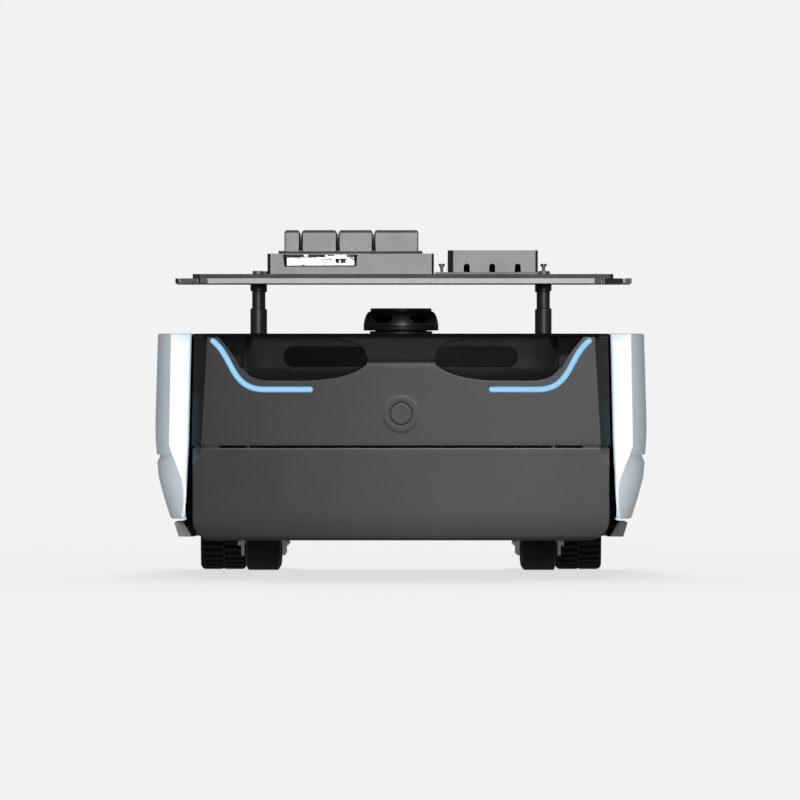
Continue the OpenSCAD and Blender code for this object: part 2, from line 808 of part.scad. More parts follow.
// Two cheeks and a foot on each side, which hold the pin of a swing arm
module pivot_brackets() color(steel) both_sides() difference() {
  union() {
    block([131, pivot_y - 16, tray_z + sheet_t], [149, pivot_y + 16, tray_z + sheet_t + 4]);
    for (x = [131, 149]) across(x, x + (x < 140 ? 4.5 : 4)) {
      translate([pivot_y - 14, tray_z + sheet_t]) square([28, pivot_z - tray_z - sheet_t]);
      translate([pivot_y, pivot_z]) circle(r = 14);
    }
  }
  rod_x(130, 154, pivot_r + 0.02, pivot_y, pivot_z);
}

// A trailing arm from its pivot to the wheel's axle and on to the spring, with its pivot pin's bush
module swing_arm() color(steel) difference() {
  union() {
    across(arm_x0, arm_x1) {
      link([pivot_y, pivot_z], [0, axle_z], 28);
      link([0, axle_z], [spring_y, spring_low_z - 10], 20);
      translate([0, axle_z]) circle(r = 22);
    }
    rod_x(arm_x0 - 1.5, arm_x1 + 2, 9, pivot_y, pivot_z);
    block([spring_x - 11, spring_y - 13, spring_low_z - 5], [spring_x + 11, spring_y + 13, spring_low_z]);
  }
  rod_x(arm_x0 - 3, arm_x1 + 4, pivot_r + running, pivot_y, pivot_z);
  rod_x(arm_x0 - 1, arm_x1 + 1, axle_d / 2 + 0.02, 0, axle_z);
}

module left_swing_arm() swing_arm();

module right_swing_arm() mirror([1, 0, 0]) swing_arm();

// Compression spring: a round wire swept along a helix
module wheel_spring() {
  turns = 7;
  steps = 18;
  sides = 8;
  coil_r = 9;
  wire_r = 1.3;
  h = seat_z - spring_low_z - 2 * wire_r - 0.2;
  rings = turns * steps;
  points = [for (i = [0:rings]) let (a = 360 * i / steps)
    for (j = [0:sides - 1]) let (b = 360 * j / sides, r = coil_r + wire_r * cos(b))
      [r * cos(a), r * sin(a), h * i / rings + wire_r * sin(b)]];
  ends = [[for (j = [0:sides - 1]) j], [for (j = [sides - 1:-1:0]) rings * sides + j]];
  skin = [for (i = [0:rings - 1], j = [0:sides - 1]) let (k = (j + 1) % sides)
    [i * sides + j, (i + 1) * sides + j, (i + 1) * sides + k, i * sides + k]];
  color(steel) translate([spring_x, spring_y, spring_low_z + wire_r + 0.1])
    polyhedron(points = points, faces = concat(ends, skin));
}

module left_spring() wheel_spring();

module right_spring() mirror([1, 0, 0]) wheel_spring();

// Steel axle with a nut on the inner side of the arm
module axle() color(steel) {
  rod_x(128, wheel_x + 16, axle_d / 2, 0, axle_z);
  translate([131, 0, axle_z]) rotate([0, 90, 0]) difference() {
    cylinder(h = arm_x0 - 131 - 0.05, r = 13, $fn = 6);
    translate([0, 0, -1]) cylinder(h = 10, r = axle_d / 2 - 0.5);
  }
}

module left_axle() axle();

module right_axle() mirror([1, 0, 0]) axle();

// Turns a drawing of (radius, x) about the drive axle
module about_axle() translate([0, 0, axle_z]) rotate([0, 90, 0]) rotate_extrude($fn = 96) children();

// The motor's turning shell, with a blind bore for the axle
module hub() color(aluminium) about_axle() {
  half = tyre_w / 2;
  polygon([
    [axle_d / 2 + running, wheel_x - half + 3],
    [24, wheel_x - half + 3],
    [26, wheel_x - half + 5],
    [56, wheel_x - half + 5],
    [58, wheel_x - half + 2],
    [rim_r - 0.05, wheel_x - half + 2],
    [rim_r - 0.05, wheel_x + half - 2],
    [58, wheel_x + half - 2],
    [54, wheel_x + half - 6],
    [26, wheel_x + half - 4],
    [0, wheel_x + half - 3],
    [0, wheel_x + 17],
    [axle_d / 2 + running, wheel_x + 17]
  ]);
}

module left_hub() hub();

module right_hub() mirror([1, 0, 0]) hub();

module tyre() color(rubber) about_axle() {
  half = tyre_w / 2;
  r = 5;
  polygon(concat(
    [[rim_r, wheel_x - half + 3], [rim_r + 4, wheel_x - half]],
    arc([wheel_r - r, wheel_x - half + r], r, -90, -0, 5),
    arc([wheel_r - r, wheel_x + half - r], r, 0, 90, 5),
    [[rim_r + 4, wheel_x + half], [rim_r, wheel_x + half - 3]]
  ));
}

module left_tyre() tyre();

module right_tyre() mirror([1, 0, 0]) tyre();

// ---------- casters ----------

// A caster's place: side is 1 on the left, end is -1 at the front
module at_caster(side, end) translate([side * caster_x, end * caster_y, 0]) children();

module caster_plates() color(steel) for (side = [-1, 1], end = [-1, 1]) at_caster(side, end) {
  block([-33, -28, bay_z - 2.6], [33, 28, bay_z - 0.05]);
  translate([0, 0, fork_top + 0.4]) cylinder(h = bay_z - 2 - fork_top - 0.4, r = 20);
}

// Swivel fork: a round crown, two legs trailing back to the axle, and the axle bolt with its nut
module caster_fork() color(steel) {
  leg_in = 19;
  leg_out = 22.2;
  translate([0, 0, fork_top - 3.5]) cylinder(h = 3.5, r = 24);
  both_sides() across(leg_in, leg_out) {
    translate([caster_trail, caster_r]) circle(r = 16.4);
    polygon([[-17, fork_top - 0.2], [17, fork_top - 0.2], [caster_trail + 16, caster_r + 4],
      [caster_trail - 15.6, caster_r - 5]]);
  }
  rod_x(-leg_out - 1, leg_out + 1, caster_axle_r, caster_trail, caster_r);
  both_sides() translate([leg_out, caster_trail, caster_r]) rotate([0, 90, 0])
    cylinder(h = 3.3, r = 6.5, $fn = 6);
}

// Crowned wheel with its tread and core in one piece
module caster_wheel() color(rubber) translate([0, caster_trail, caster_r]) rotate([0, 90, 0])
  rotate_extrude($fn = 80) {
    half = caster_w / 2;
    right = [[caster_axle_r + running, half], [14, half], [24, half - 0.4], [29, half - 1.4],
      [caster_r, half - 3]];
    polygon(concat(right, [for (i = [len(right) - 1:-1:0]) [right[i].x, -right[i].y]]));
  }

module front_left_caster_fork() at_caster(1, -1) caster_fork();
module front_right_caster_fork() at_caster(-1, -1) caster_fork();
module rear_left_caster_fork() at_caster(1, 1) caster_fork();
module rear_right_caster_fork() at_caster(-1, 1) caster_fork();
module front_left_caster_wheel() at_caster(1, -1) caster_wheel();
module front_right_caster_wheel() at_caster(-1, -1) caster_wheel();
module rear_left_caster_wheel() at_caster(1, 1) caster_wheel();
module rear_right_caster_wheel() at_caster(-1, 1) caster_wheel();

chassis_tray();
front_caster_bracket();
rear_caster_bracket();
inner_frame();
deck_plate();
deck_screws();
front_cover();
rear_cover();
left_side_cover();
right_side_cover();
left_sill();
right_sill();
left_light_strip();
right_light_strip();
left_camera_window();
right_camera_window();
left_depth_camera();
right_depth_camera();
button_bezel();
power_button();
bumper();
bumper_guides();
lidar_base();
lidar_head();
lidar_lenses();
support_posts();
post_screws();
adapter_plate();
top_plate();
computer_case();
computer_heatsink();
computer_ports();
interface_box();
interface_base();
interface_screws();
battery_pack();
control_board();
motor_driver();
rear_port_panel();
charge_contacts();
pivot_brackets();
left_swing_arm();
right_swing_arm();
left_spring();
right_spring();
left_axle();
right_axle();
left_hub();
right_hub();
left_tyre();
right_tyre();
caster_plates();
front_left_caster_fork();
front_right_caster_fork();
rear_left_caster_fork();
rear_right_caster_fork();
front_left_caster_wheel();
front_right_caster_wheel();
rear_left_caster_wheel();
rear_right_caster_wheel();
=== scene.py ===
"""Two-wheel robot base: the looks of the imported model.

Every shape is drawn in millimetres in the frame of the CAD model and turned into metres in
new_mesh(). Places come from the CAD nodes' boxes, through node_box().
"""
import json
import math

import bmesh
import bpy
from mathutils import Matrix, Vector

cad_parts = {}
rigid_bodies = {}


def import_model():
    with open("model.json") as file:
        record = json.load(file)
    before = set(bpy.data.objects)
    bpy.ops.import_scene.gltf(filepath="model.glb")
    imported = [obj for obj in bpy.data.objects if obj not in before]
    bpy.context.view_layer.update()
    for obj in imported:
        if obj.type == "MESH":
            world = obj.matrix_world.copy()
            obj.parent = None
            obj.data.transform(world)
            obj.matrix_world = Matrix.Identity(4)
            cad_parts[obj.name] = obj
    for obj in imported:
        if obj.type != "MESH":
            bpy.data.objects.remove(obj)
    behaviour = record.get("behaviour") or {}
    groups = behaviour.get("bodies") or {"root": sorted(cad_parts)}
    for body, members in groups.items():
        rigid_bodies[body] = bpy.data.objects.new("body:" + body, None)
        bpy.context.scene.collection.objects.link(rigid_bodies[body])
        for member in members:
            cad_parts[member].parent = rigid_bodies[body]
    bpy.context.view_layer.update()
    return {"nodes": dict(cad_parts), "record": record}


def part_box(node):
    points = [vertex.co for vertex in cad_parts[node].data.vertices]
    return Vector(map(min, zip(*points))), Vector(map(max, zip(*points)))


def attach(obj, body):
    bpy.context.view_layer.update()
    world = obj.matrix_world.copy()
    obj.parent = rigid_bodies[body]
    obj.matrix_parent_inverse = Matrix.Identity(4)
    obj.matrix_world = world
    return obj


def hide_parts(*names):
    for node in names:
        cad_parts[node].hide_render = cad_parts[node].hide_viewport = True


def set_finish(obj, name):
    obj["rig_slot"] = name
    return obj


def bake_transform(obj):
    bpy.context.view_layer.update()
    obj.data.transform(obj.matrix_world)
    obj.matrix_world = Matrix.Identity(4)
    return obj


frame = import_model()

MM = 0.001
CHASSIS = "chassis"
SIDES = ((1, "left"), (-1, "right"))


# ---------------------------------------------------------------- materials


def set_stops(ramp, stops):
    """Gives a colour ramp its (place, grey or colour) stops."""
    elements = ramp.color_ramp.elements
    while len(elements) < len(stops):
        elements.new(0.5)
    for element, (place, tone) in zip(elements, stops):
        element.position = place
        rgb = (tone, tone, tone) if isinstance(tone, (int, float)) else tuple(tone)
        element.color = (*rgb, 1.0)


class Finish:
    """A procedural surface: a Principled shader with colour, roughness and bump from noise."""

    def __init__(self, name, colour, roughness, metallic=0.0, coat=0.0, specular=0.5):
        self.name = name
        self.material = bpy.data.materials.new(name)
        self.material.use_nodes = True
        self.tree = self.material.node_tree
        self.shader = self.tree.nodes["Principled BSDF"]
        self.colour = tuple(colour)
        self.roughness = roughness
        self.shader.inputs["Metallic"].default_value = metallic
        self.shader.inputs["Coat Weight"].default_value = coat
        self.shader.inputs["Coat Roughness"].default_value = 0.12
        self.shader.inputs["Specular IOR Level"].default_value = specular
        self.place = self.node("ShaderNodeTexCoord").outputs["Object"]
        self.bump = None

    def node(self, kind, **settings):
        made = self.tree.nodes.new(kind)
        for key, value in settings.items():
            setattr(made, key, value)
        return made

    def link(self, source, target):
        self.tree.links.new(source, target)

    def noise(self, scale, detail=3.0, stretch=(1, 1, 1), rough=0.5):
        """Noise of about scale cells per metre, stretched along the axes."""
        mapping = self.node("ShaderNodeMapping")
        mapping.inputs["Scale"].default_value = [scale * s for s in stretch]
        self.link(self.place, mapping.inputs["Vector"])
        noise = self.node("ShaderNodeTexNoise")
        noise.inputs["Scale"].default_value = 1.0
        noise.inputs["Detail"].default_value = detail
        noise.inputs["Roughness"].default_value = rough
        self.link(mapping.outputs["Vector"], noise.inputs["Vector"])
        return noise.outputs["Fac"]

    def ramp(self, value, stops):
        """A ramp from a value to (place, grey or colour) stops."""
        ramp = self.node("ShaderNodeValToRGB")
        set_stops(ramp, stops)
        self.link(value, ramp.inputs["Fac"])
        return ramp.outputs["Color"]

    def mix(self, factor, a, b, blend="MIX"):
        mixer = self.node("ShaderNodeMix", data_type="RGBA", blend_type=blend)
        for value, socket in ((factor, 0), (a, 6), (b, 7)):
            if isinstance(value, bpy.types.NodeSocket):
                self.link(value, mixer.inputs[socket])
            elif socket == 0:
                mixer.inputs[socket].default_value = value
            else:
                mixer.inputs[socket].default_value = (*value, 1.0)
        return mixer.outputs[2]

    def mottle(self, vary=0.08, scale=14, fine=0.04, fine_scale=420, stretch=(1, 1, 1)):
        """Broad and fine variation of the base colour."""
        dark = [c * (1 - vary) for c in self.colour]
        light = [min(1.0, c * (1 + vary)) for c in self.colour]
        broad = self.ramp(self.noise(scale, 4, stretch), [(0.3, dark), (0.7, light)])
        speck = self.ramp(self.noise(fine_scale, 2, stretch), [(0.3, 1 - fine), (0.7, 1.0)])
        self.base = self.mix(1.0, broad, speck, "MULTIPLY")
        self.link(self.base, self.shader.inputs["Base Color"])
        return self

    def worn(self, tone, amount=0.35, width=0.53):
        """Edges rubbed lighter: the convex edges of the mesh, broken up by noise."""
        edge = self.ramp(self.node("ShaderNodeNewGeometry").outputs["Pointiness"],
                         [(width, 0.0), (width + 0.06, 1.0)])
        broken = self.ramp(self.noise(160, 5, rough=0.7), [(0.42, 0.0), (0.62, amount)])
        mask = self.mix(1.0, edge, broken, "MULTIPLY")
        self.base = self.mix(mask, self.base, tone)
        self.link(self.base, self.shader.inputs["Base Color"])
        return self

    def uneven(self, spread=0.08, scale=30, stretch=(1, 1, 1)):
        """Roughness that varies across the surface, as from handling and dust."""
        low = max(0.0, self.roughness - spread)
        high = min(1.0, self.roughness + spread)
        tone = self.ramp(self.noise(scale, 5, stretch, rough=0.6), [(0.35, low), (0.65, high)])
        self.link(tone, self.shader.inputs["Roughness"])
        return self

    def grain(self, depth_mm, scale, detail=2.0, stretch=(1, 1, 1)):
        """A layer of bump; layers add up."""
        bump = self.node("ShaderNodeBump")
        bump.inputs["Distance"].default_value = depth_mm * MM
        bump.inputs["Strength"].default_value = 1.0
        self.link(self.noise(scale, detail, stretch), bump.inputs["Height"])
        if self.bump:
            self.link(self.bump, bump.inputs["Normal"])
        self.bump = bump.outputs["Normal"]
        self.link(self.bump, self.shader.inputs["Normal"])
        return self


def moulded(name, colour, roughness, grain_mm=0.02, coat=0.0, vary=0.06, specular=0.5):
    """Moulded plastic with an etched grain."""
    finish = Finish(name, colour, roughness, coat=coat, specular=specular)
    return finish.mottle(vary).uneven(0.06).grain(grain_mm, 1300).grain(grain_mm * 2, 60)


def anodised(name, colour, roughness=0.42, vary=0.06, wear=0.25):
    """Anodised aluminium with a fine, slightly directional texture."""
    finish = Finish(name, colour, roughness, metallic=0.55)
    finish.mottle(vary, 20, 0.08, 700, (1, 0.25, 1)).uneven(vary, 40)
    if wear:
        finish.worn([min(1.0, c * 1.6 + 0.03) for c in colour], wear)
    return finish.grain(0.008, 1600)


def machined(name, colour, roughness=0.3, stretch=(1, 1, 1), wear=0.3):
    """Bare or plated metal."""
    finish = Finish(name, colour, roughness, metallic=1.0)
    finish.mottle(0.1, 30, 0.12, 500, stretch).uneven(0.1, 90, stretch)
    return finish.worn([min(1.0, c * 1.3) for c in colour], wear).grain(0.01, 700, 3, stretch)


def plate_with_painted_reflection(name, colour):
    """Bright tin plate, dulled by handling; its near-white, mostly diffuse colour paints in the reflections
    of the bright shells.
    """
    finish = Finish(name, colour, 0.45, metallic=0.1)
    return finish.mottle(0.04, 40).uneven(0.08, 60).grain(0.006, 900)


def smoked(name, colour, roughness):
    """Dark acrylic with a soft sheen."""
    finish = Finish(name, colour, roughness, specular=0.2)
    return finish.mottle(0.1, 20).uneven(0.05, 18).grain(0.004, 900)


def powder_coat(name, colour, roughness=0.55, specular=0.5):
    """Powder coat with a light orange peel."""
    finish = Finish(name, colour, roughness, specular=specular)
    finish.mottle(0.06, 16).uneven(0.07, 26)
    return finish.worn([min(1.0, c * 2 + 0.05) for c in colour], 0.3).grain(0.03, 380).grain(0.01, 1500)


def rubber(name, colour, roughness=0.78):
    """Rubber with dust in its pores."""
    finish = Finish(name, colour, roughness, specular=0.3)
    finish.mottle(0.25, 25, 0.15, 300).uneven(0.1, 50)
    return finish.worn([c + 0.02 for c in colour], 0.6).grain(0.05, 500, 4).grain(0.05, 120)


def grey(tone, blue):
    """A grey that is a touch cool."""
    return (tone, tone, blue)


def make_finishes():
    """One finish for each material slot of the record, and a few for parts of a piece."""
    finishes = (
        moulded("charcoal_plastic", grey(0.05, 0.0505), 0.6),
        moulded("button_plastic", grey(0.055, 0.0555), 0.5, 0.01),
        moulded("black_plastic", grey(0.008, 0.0082), 0.45, 0.015, specular=0.2),
        moulded("white_gloss", (0.77, 0.86, 0.94), 0.32, 0.004, coat=0.35, vary=0.015),
        powder_coat("sill_grey", grey(0.5, 0.505)),
        smoked("dark_window", grey(0.006, 0.0063), 0.45),
        anodised("camera_body", grey(0.22, 0.23)),
        machined("sheet_aluminium", (0.60, 0.61, 0.62), 0.38, (1, 0.1, 1)),
        powder_coat("frame_steel", (0.27, 0.28, 0.29), 0.5),
        powder_coat("deck_black", grey(0.003, 0.0031), 0.6, specular=0.1),
        anodised("post_grey", grey(0.026, 0.027), 0.45, 0.03, 0),
        anodised("plate_light", grey(0.185, 0.188), 0.45, 0.02, 0),
        anodised("plate_dark", grey(0.0165, 0.017), 0.5, 0.03, 0),
        anodised("case_grey", grey(0.146, 0.147), 0.5, 0.02, 0),
        powder_coat("base_grey", grey(0.13, 0.135)),
        # painted reflection: the socket shells' brightness is given as a near-white colour
        plate_with_painted_reflection("socket_metal", grey(0.95, 0.95)),
        anodised("bright_steel", grey(0.12, 0.122), 0.4, 0.05, 0),
        moulded("battery_blue", (0.03, 0.07, 0.12), 0.4, 0.03),
        moulded("board_green", (0.01, 0.1, 0.04), 0.4, 0.03),
        machined("contact_brass", (0.62, 0.4, 0.16), 0.32, (0.1, 1, 1)),
        machined("spring_steel", (0.4, 0.41, 0.42), 0.35),
        machined("hub_aluminium", (0.5, 0.51, 0.52), 0.4),
        rubber("tyre_rubber", grey(0.008, 0.0083)),
        machined("zinc", (0.55, 0.56, 0.575), 0.34),
        rubber("caster_tread", grey(0.008, 0.0083), 0.7),
        light_guide("light_guide"),
        # painted shade: a near-black finish laid on edges, gaps, mouths and ends
        moulded("dark_edge", grey(0.004, 0.0042), 0.6, specular=0.15),
        # painted half shade: a dark grey laid on bands and edges
        anodised("mid_edge", grey(0.05, 0.051), 0.6, 0.05, 0),
        # painted shade on the front cover's wings and pockets
        moulded("wing_charcoal", grey(0.016, 0.0163), 0.65, specular=0.2),
        smoked("lens_black", grey(0.0012, 0.0014), 0.2),
        # painted sheen: a violet band on the turning head
        moulded("violet_line", (0.03, 0.012, 0.06), 0.4, 0.004),
    )
    return {finish.name: finish.material for finish in finishes}


def light_guide(name):
    """Lit translucent guide: pale along the middle, deeper blue at the edges ("across" is 0 to 1)."""
    finish = Finish(name, (0.05, 0.1, 0.15), 0.4)
    across = finish.node("ShaderNodeAttribute", attribute_name="across").outputs["Fac"]
    clouded = finish.ramp(finish.noise(220, 3), [(0.3, 0.94), (0.7, 1.0)])
    blues = [(0.0, (0.40, 0.72, 0.97)), (0.55, (0.33, 0.66, 0.94)), (1.0, (0.1, 0.4, 0.8))]
    lit = finish.mix(1.0, finish.ramp(across, blues), clouded, "MULTIPLY")
    finish.link(lit, finish.shader.inputs["Emission Color"])
    finish.shader.inputs["Emission Strength"].default_value = 0.9
    return finish.mottle(0.04, 60).uneven(0.06).grain(0.01, 900)


MATERIALS = make_finishes()


# ---------------------------------------------------------------- mesh helpers

# Vertices closer than this, in metres, are one
SAME_PLACE = 1e-6


def node_box(node):
    """Lowest and highest corner of a CAD node, in millimetres."""
    low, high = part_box(node)
    return low / MM, high / MM


def shade(mesh, angle):
    """Smooth faces, with edges sharper than angle degrees kept sharp."""
    for polygon in mesh.polygons:
        polygon.use_smooth = True
    mesh.set_sharp_from_angle(angle=math.radians(angle))


def finish_piece(piece, slot, body, replaced=(), material=None):
    """Gives a piece its material, its slot and its body, and hides the CAD nodes it stands for."""
    piece.data.materials.clear()
    piece.data.materials.append(material or MATERIALS[slot])
    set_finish(piece, slot)
    if body:
        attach(piece, body)
    if replaced:
        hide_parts(*replaced)
    return piece


class Edit:
    """Opens a mesh for editing, and writes it back at the end of the with block."""

    def __init__(self, mesh):
        self.mesh = mesh

    def __enter__(self):
        self.bm = bmesh.new()
        self.bm.from_mesh(self.mesh)
        return self.bm

    def __exit__(self, *error):
        self.bm.to_mesh(self.mesh)
        self.bm.free()


def new_object(name, data):
    """A new object in the scene."""
    made = bpy.data.objects.new(name, data)
    bpy.context.scene.collection.objects.link(made)
    return made


def new_mesh(name, verts, faces, merge):
    """A mesh from vertices in millimetres, with its faces turned outwards."""
    mesh = bpy.data.meshes.new(name)
    mesh.from_pydata([Vector(v) * MM for v in verts], [], faces)
    with Edit(mesh) as bm:
        if merge:
            bmesh.ops.remove_doubles(bm, verts=bm.verts, dist=SAME_PLACE)
        bmesh.ops.recalc_face_normals(bm, faces=bm.faces)
    return mesh


def add_mesh(name, verts, faces, slot, body, replaced=(), angle=35, material=None, merge=False):
    """A piece from vertices in millimetres and faces."""
    mesh = new_mesh(name, verts, faces, merge)
    shade(mesh, angle)
    return finish_piece(new_object(name, mesh), slot, body, replaced, material)


def bevel(piece, width_mm):
    """Rounds the sharp edges of a piece."""
    modifier = piece.modifiers.new("edge_round", "BEVEL")
    modifier.width = width_mm * MM
    modifier.segments = 2
    modifier.limit_method = "ANGLE"
    modifier.angle_limit = math.radians(28)
    modifier.use_clamp_overlap = True
    modifier.harden_normals = True


def chamfer_front(piece, width_mm, finish, upright=False):
    """Chamfers the outline of a piece's foremost flats, or only its upright edges, in a finish: the dark
    finish given there is painted shade, the dark outline of edges in shadow.
    """
    piece.data.materials.append(MATERIALS[finish])
    index = len(piece.data.materials) - 1
    with Edit(piece.data) as bm:
        front = min(v.co.y for v in bm.verts) + 0.05 * MM
        edges = []
        for edge in bm.edges:
            is_sharp = len(edge.link_faces) == 2 and edge.calc_face_angle() > 0.5
            along = edge.verts[1].co - edge.verts[0].co
            is_wanted = not upright or abs(along.z) >= abs(along.x)
            if is_sharp and is_wanted and all(v.co.y < front for v in edge.verts):
                edges.append(edge)
        bmesh.ops.bevel(bm, geom=edges, offset=width_mm * MM, segments=1, affect="EDGES",
                        clamp_overlap=not upright, material=index)
    shade(piece.data, 20)


def tint_front(piece, patches, finish):
    """Gives patches of a piece's front another finish, a finish of painted shade wherever it is called: (x0,
    x1) or (x0, x1, z0, z1), in millimetres.
    """
    piece.data.materials.append(MATERIALS[finish])
    index = len(piece.data.materials) - 1
    planes = {(0, x) for patch in patches for x in patch[:2]}
    planes |= {(2, z) for patch in patches for z in patch[2:]}
    with Edit(piece.data) as bm:
        for axis, place in sorted(planes):
            normal = Vector((axis == 0, 0, axis == 2))
            whole = bm.verts[:] + bm.edges[:] + bm.faces[:]
            bmesh.ops.bisect_plane(bm, geom=whole, plane_co=normal * place * MM, plane_no=normal)
        for face in bm.faces:
            x, _, z = face.calc_center_median() / MM
            for x0, x1, *heights in patches:
                low, high = heights or (-math.inf, math.inf)
                if face.normal.y < -0.7 and x0 < x < x1 and low < z < high:
                    face.material_index = index


def body_of(node):
    """The body that a CAD node belongs to."""
    for body, members in frame["record"]["behaviour"]["bodies"].items():
        if node in members:
            return body
    raise KeyError(node)


def slot_of(node):
    for row in frame["record"]["subparts"]:
        if row["node"] == node:
            return row["material_slot"]
    raise KeyError(node)


def refine(node, round_mm=0.0):
    """A clean copy of a CAD node with its flats joined and its edges rounded, in place of the node."""
    mesh = frame["nodes"][node].data.copy()
    with Edit(mesh) as bm:
        bmesh.ops.remove_doubles(bm, verts=bm.verts, dist=SAME_PLACE)
        bmesh.ops.dissolve_limit(bm, angle_limit=math.radians(0.6), verts=bm.verts, edges=bm.edges)
    mesh.name = node + "_shape"
    shade(mesh, 30)
    piece = finish_piece(new_object(node + "_shape", mesh), slot_of(node), body_of(node), (node,))
    if round_mm:
        bevel(piece, round_mm)
    return piece


def grid_faces(rows, columns, wrap_rows=False, wrap_columns=False):
    """Quads between a grid of rows x columns vertices."""
    faces = []
    for i in range(rows if wrap_rows else rows - 1):
        for j in range(columns if wrap_columns else columns - 1):
            a = i * columns + j
            b = i * columns + (j + 1) % columns
            c = ((i + 1) % rows) * columns + (j + 1) % columns
            d = ((i + 1) % rows) * columns + j
            faces.append((a, b, c, d))
    return faces


def tube_faces(rows, columns):
    """Faces of a closed tube of rings: the quads between them, and a cap at each end."""
    caps = [list(range(columns)), list(reversed(range((rows - 1) * columns, rows * columns)))]
    return grid_faces(rows, columns, wrap_columns=True) + caps


def box_outline(x0, x1, z0, z1):
    """Corners (x, z) of a rectangle, anticlockwise."""
    return [(x0, z0), (x1, z0), (x1, z1), (x0, z1)]


def box_loop(r0, r1, h0, h1):
    """A rectangle (radius, height) that ends where it starts, to turn into a sleeve."""
    corners = box_outline(r0, r1, h0, h1)
    return corners + corners[:1]


def prism(outline, y0, y1):
    """A closed prism along Y from an outline of (x, z) points."""
    verts = [(x, y, z) for y in (y0, y1) for x, z in outline]
    return verts, tube_faces(2, len(outline))


def lathe(name, profile, slot, body, replaced=(), axis="Z", at=(0, 0, 0), steps=64, material=None):
    """A turned piece from (radius, height) points, about an axis through a point."""
    verts = []
    for r, h in profile:
        for j in range(steps):
            a = 2 * math.pi * j / steps
            u, v = r * math.cos(a), r * math.sin(a)
            x, y, z = (u, h, v) if axis == "Y" else (u, v, h)
            verts.append((x + at[0], y + at[1], z + at[2]))
    faces = grid_faces(len(profile), steps, wrap_columns=True)
    return add_mesh(name, verts, faces, slot, body, replaced, 30, material, merge=True)


def cutter(name, verts, faces):
    """A closed mesh in millimetres that only cuts."""
    return new_object(name, new_mesh(name, verts, faces, merge=True))


def cut(piece, cutters):
    """Subtracts closed meshes from a piece, and applies the result."""
    for tool in cutters:
        modifier = piece.modifiers.new("cut", "BOOLEAN")
        modifier.operation = "DIFFERENCE"
        modifier.solver = "EXACT"
        modifier.object = tool
    depsgraph = bpy.context.evaluated_depsgraph_get()
    mesh = bpy.data.meshes.new_from_object(piece.evaluated_get(depsgraph))
    piece.modifiers.clear()
    piece.data = mesh
    for tool in cutters:
        bpy.data.objects.remove(tool)


# ---------------------------------------------------------------- curves and outlines


def arc(centre, radius, start, end, steps):
    """Points of an arc between two angles in degrees, both ends included."""
    points = []
    for i in range(steps + 1):
        a = math.radians(start + (end - start) * i / steps)
        points.append((centre[0] + radius * math.cos(a), centre[1] + radius * math.sin(a)))
    return points


def cubic(p, steps):
    """Points of a cubic curve, both ends included."""
    points = []
    for i in range(steps + 1):
        t = i / steps
        s = 1 - t
        weights = (s * s * s, 3 * s * s * t, 3 * s * t * t, t * t * t)
        points.append(tuple(sum(w * q[k] for w, q in zip(weights, p)) for k in (0, 1)))
    return points


def lerp(a, b, t):
    return a + (b - a) * t


def smooth_step(low, high, x):
    t = min(1.0, max(0.0, (x - low) / (high - low)))
    return t * t * (3 - 2 * t)


def smooth_min(a, b, k):
    """The smaller of two numbers, with a fillet of about k where they meet."""
    h = min(1.0, max(0.0, 0.5 + 0.5 * (b - a) / k))
    return lerp(b, a, h) - k * h * (1 - h)


# The body's plan, read back from the covers. Its face bows forward by BOW, and its wings turn in
# towards the face over WING_DEEP, by SLANT at the seam and by SLANT_HIGH at the top.
COVER_LOW, COVER_HIGH = node_box("front_cover")
BUMPER_LOW, BUMPER_HIGH = node_box("bumper")
HALF_W = COVER_HIGH.x
FACE_Y = COVER_LOW.y
WING_Y = COVER_HIGH.y
BOW = 6.0
WALL = 3.0
EDGE_R = 1.5
WING_DEEP = 16.0
SLANT = 8.5
SLANT_HIGH = 12.5
FACE_STEPS = 36


def face_y(x, half=HALF_W):
    """How far forward the bowed face stands at x."""
    return FACE_Y + BOW * (x / half) ** 2


def end_outline(half, slant, inset):
    """Plan of one end of the body, from the left wing round the face to the right wing.

    Each wing slants in by slant millimetres where it turns towards the face.
    """
    h = half - inset
    r = max(EDGE_R - inset, 0.4)
    flat = h - slant - r
    yc = face_y(flat, half) + inset + r
    slope = math.degrees(math.atan(2 * BOW * flat / half ** 2))
    deep = min(WING_DEEP, 0.8 * (WING_Y - yc))
    turn = math.degrees(math.atan2(slant, deep))
    left = arc((-flat, yc), r, 180 + turn, 270 - slope, 8)
    right = arc((flat, yc), r, 270 + slope, 360 - turn, 8)
    face = []
    for i in range(1, FACE_STEPS):
        x = lerp(left[-1][0], right[0][0], i / FACE_STEPS)
        face.append((x, face_y(x, half) + inset))
    wing = [(-h, WING_Y), (-h, yc + deep)]
    return wing + left + face + right + [(-x, y) for x, y in reversed(wing)]


def rounded_wall(z0, z1, radius):
    """Outer side (inset, z) of a cover's wall, with its edges rounded."""
    low = arc((radius, z0 + radius), radius, 270, 180, 5)
    high = arc((radius, z1 - radius), radius, 180, 90, 5)
    return low + [(0.0, lerp(z0 + radius, z1 - radius, i / 24)) for i in range(1, 24)] + high


def sweep_cover(profile, half_at, slant_at, back_at):
    """Sweeps a wall profile round the plan of one end, and closes it at the wings."""
    verts = []
    for inset, z in profile:
        for x, y in end_outline(half_at(z), slant_at(z), inset):
            verts.append((x, y + back_at(z), z))
    rows = len(profile)
    columns = len(verts) // rows
    faces = grid_faces(rows, columns, wrap_rows=True)
    faces.append([i * columns for i in range(rows)])
    faces.append([i * columns + columns - 1 for i in reversed(range(rows))])
    return verts, faces


# ---------------------------------------------------------------- front cover

# Camera recesses: the back wall leads straight from INNER to DEEP, each (x, depth), then curves out
POD_INNER = (29.0, 20.0)
POD_DEEP = (124.0, 32.0)
POD_ROUND = 30.0
POD_FLOOR = 189.0
POD_YAW = math.atan2(POD_DEEP[1] - POD_INNER[1], POD_DEEP[0] - POD_INNER[0])
POD_OPEN_TOP = 252.0
POD_SPINE = ((58.0, 213.0), (138.0, 214.0))
POD_FILLET = 2.0
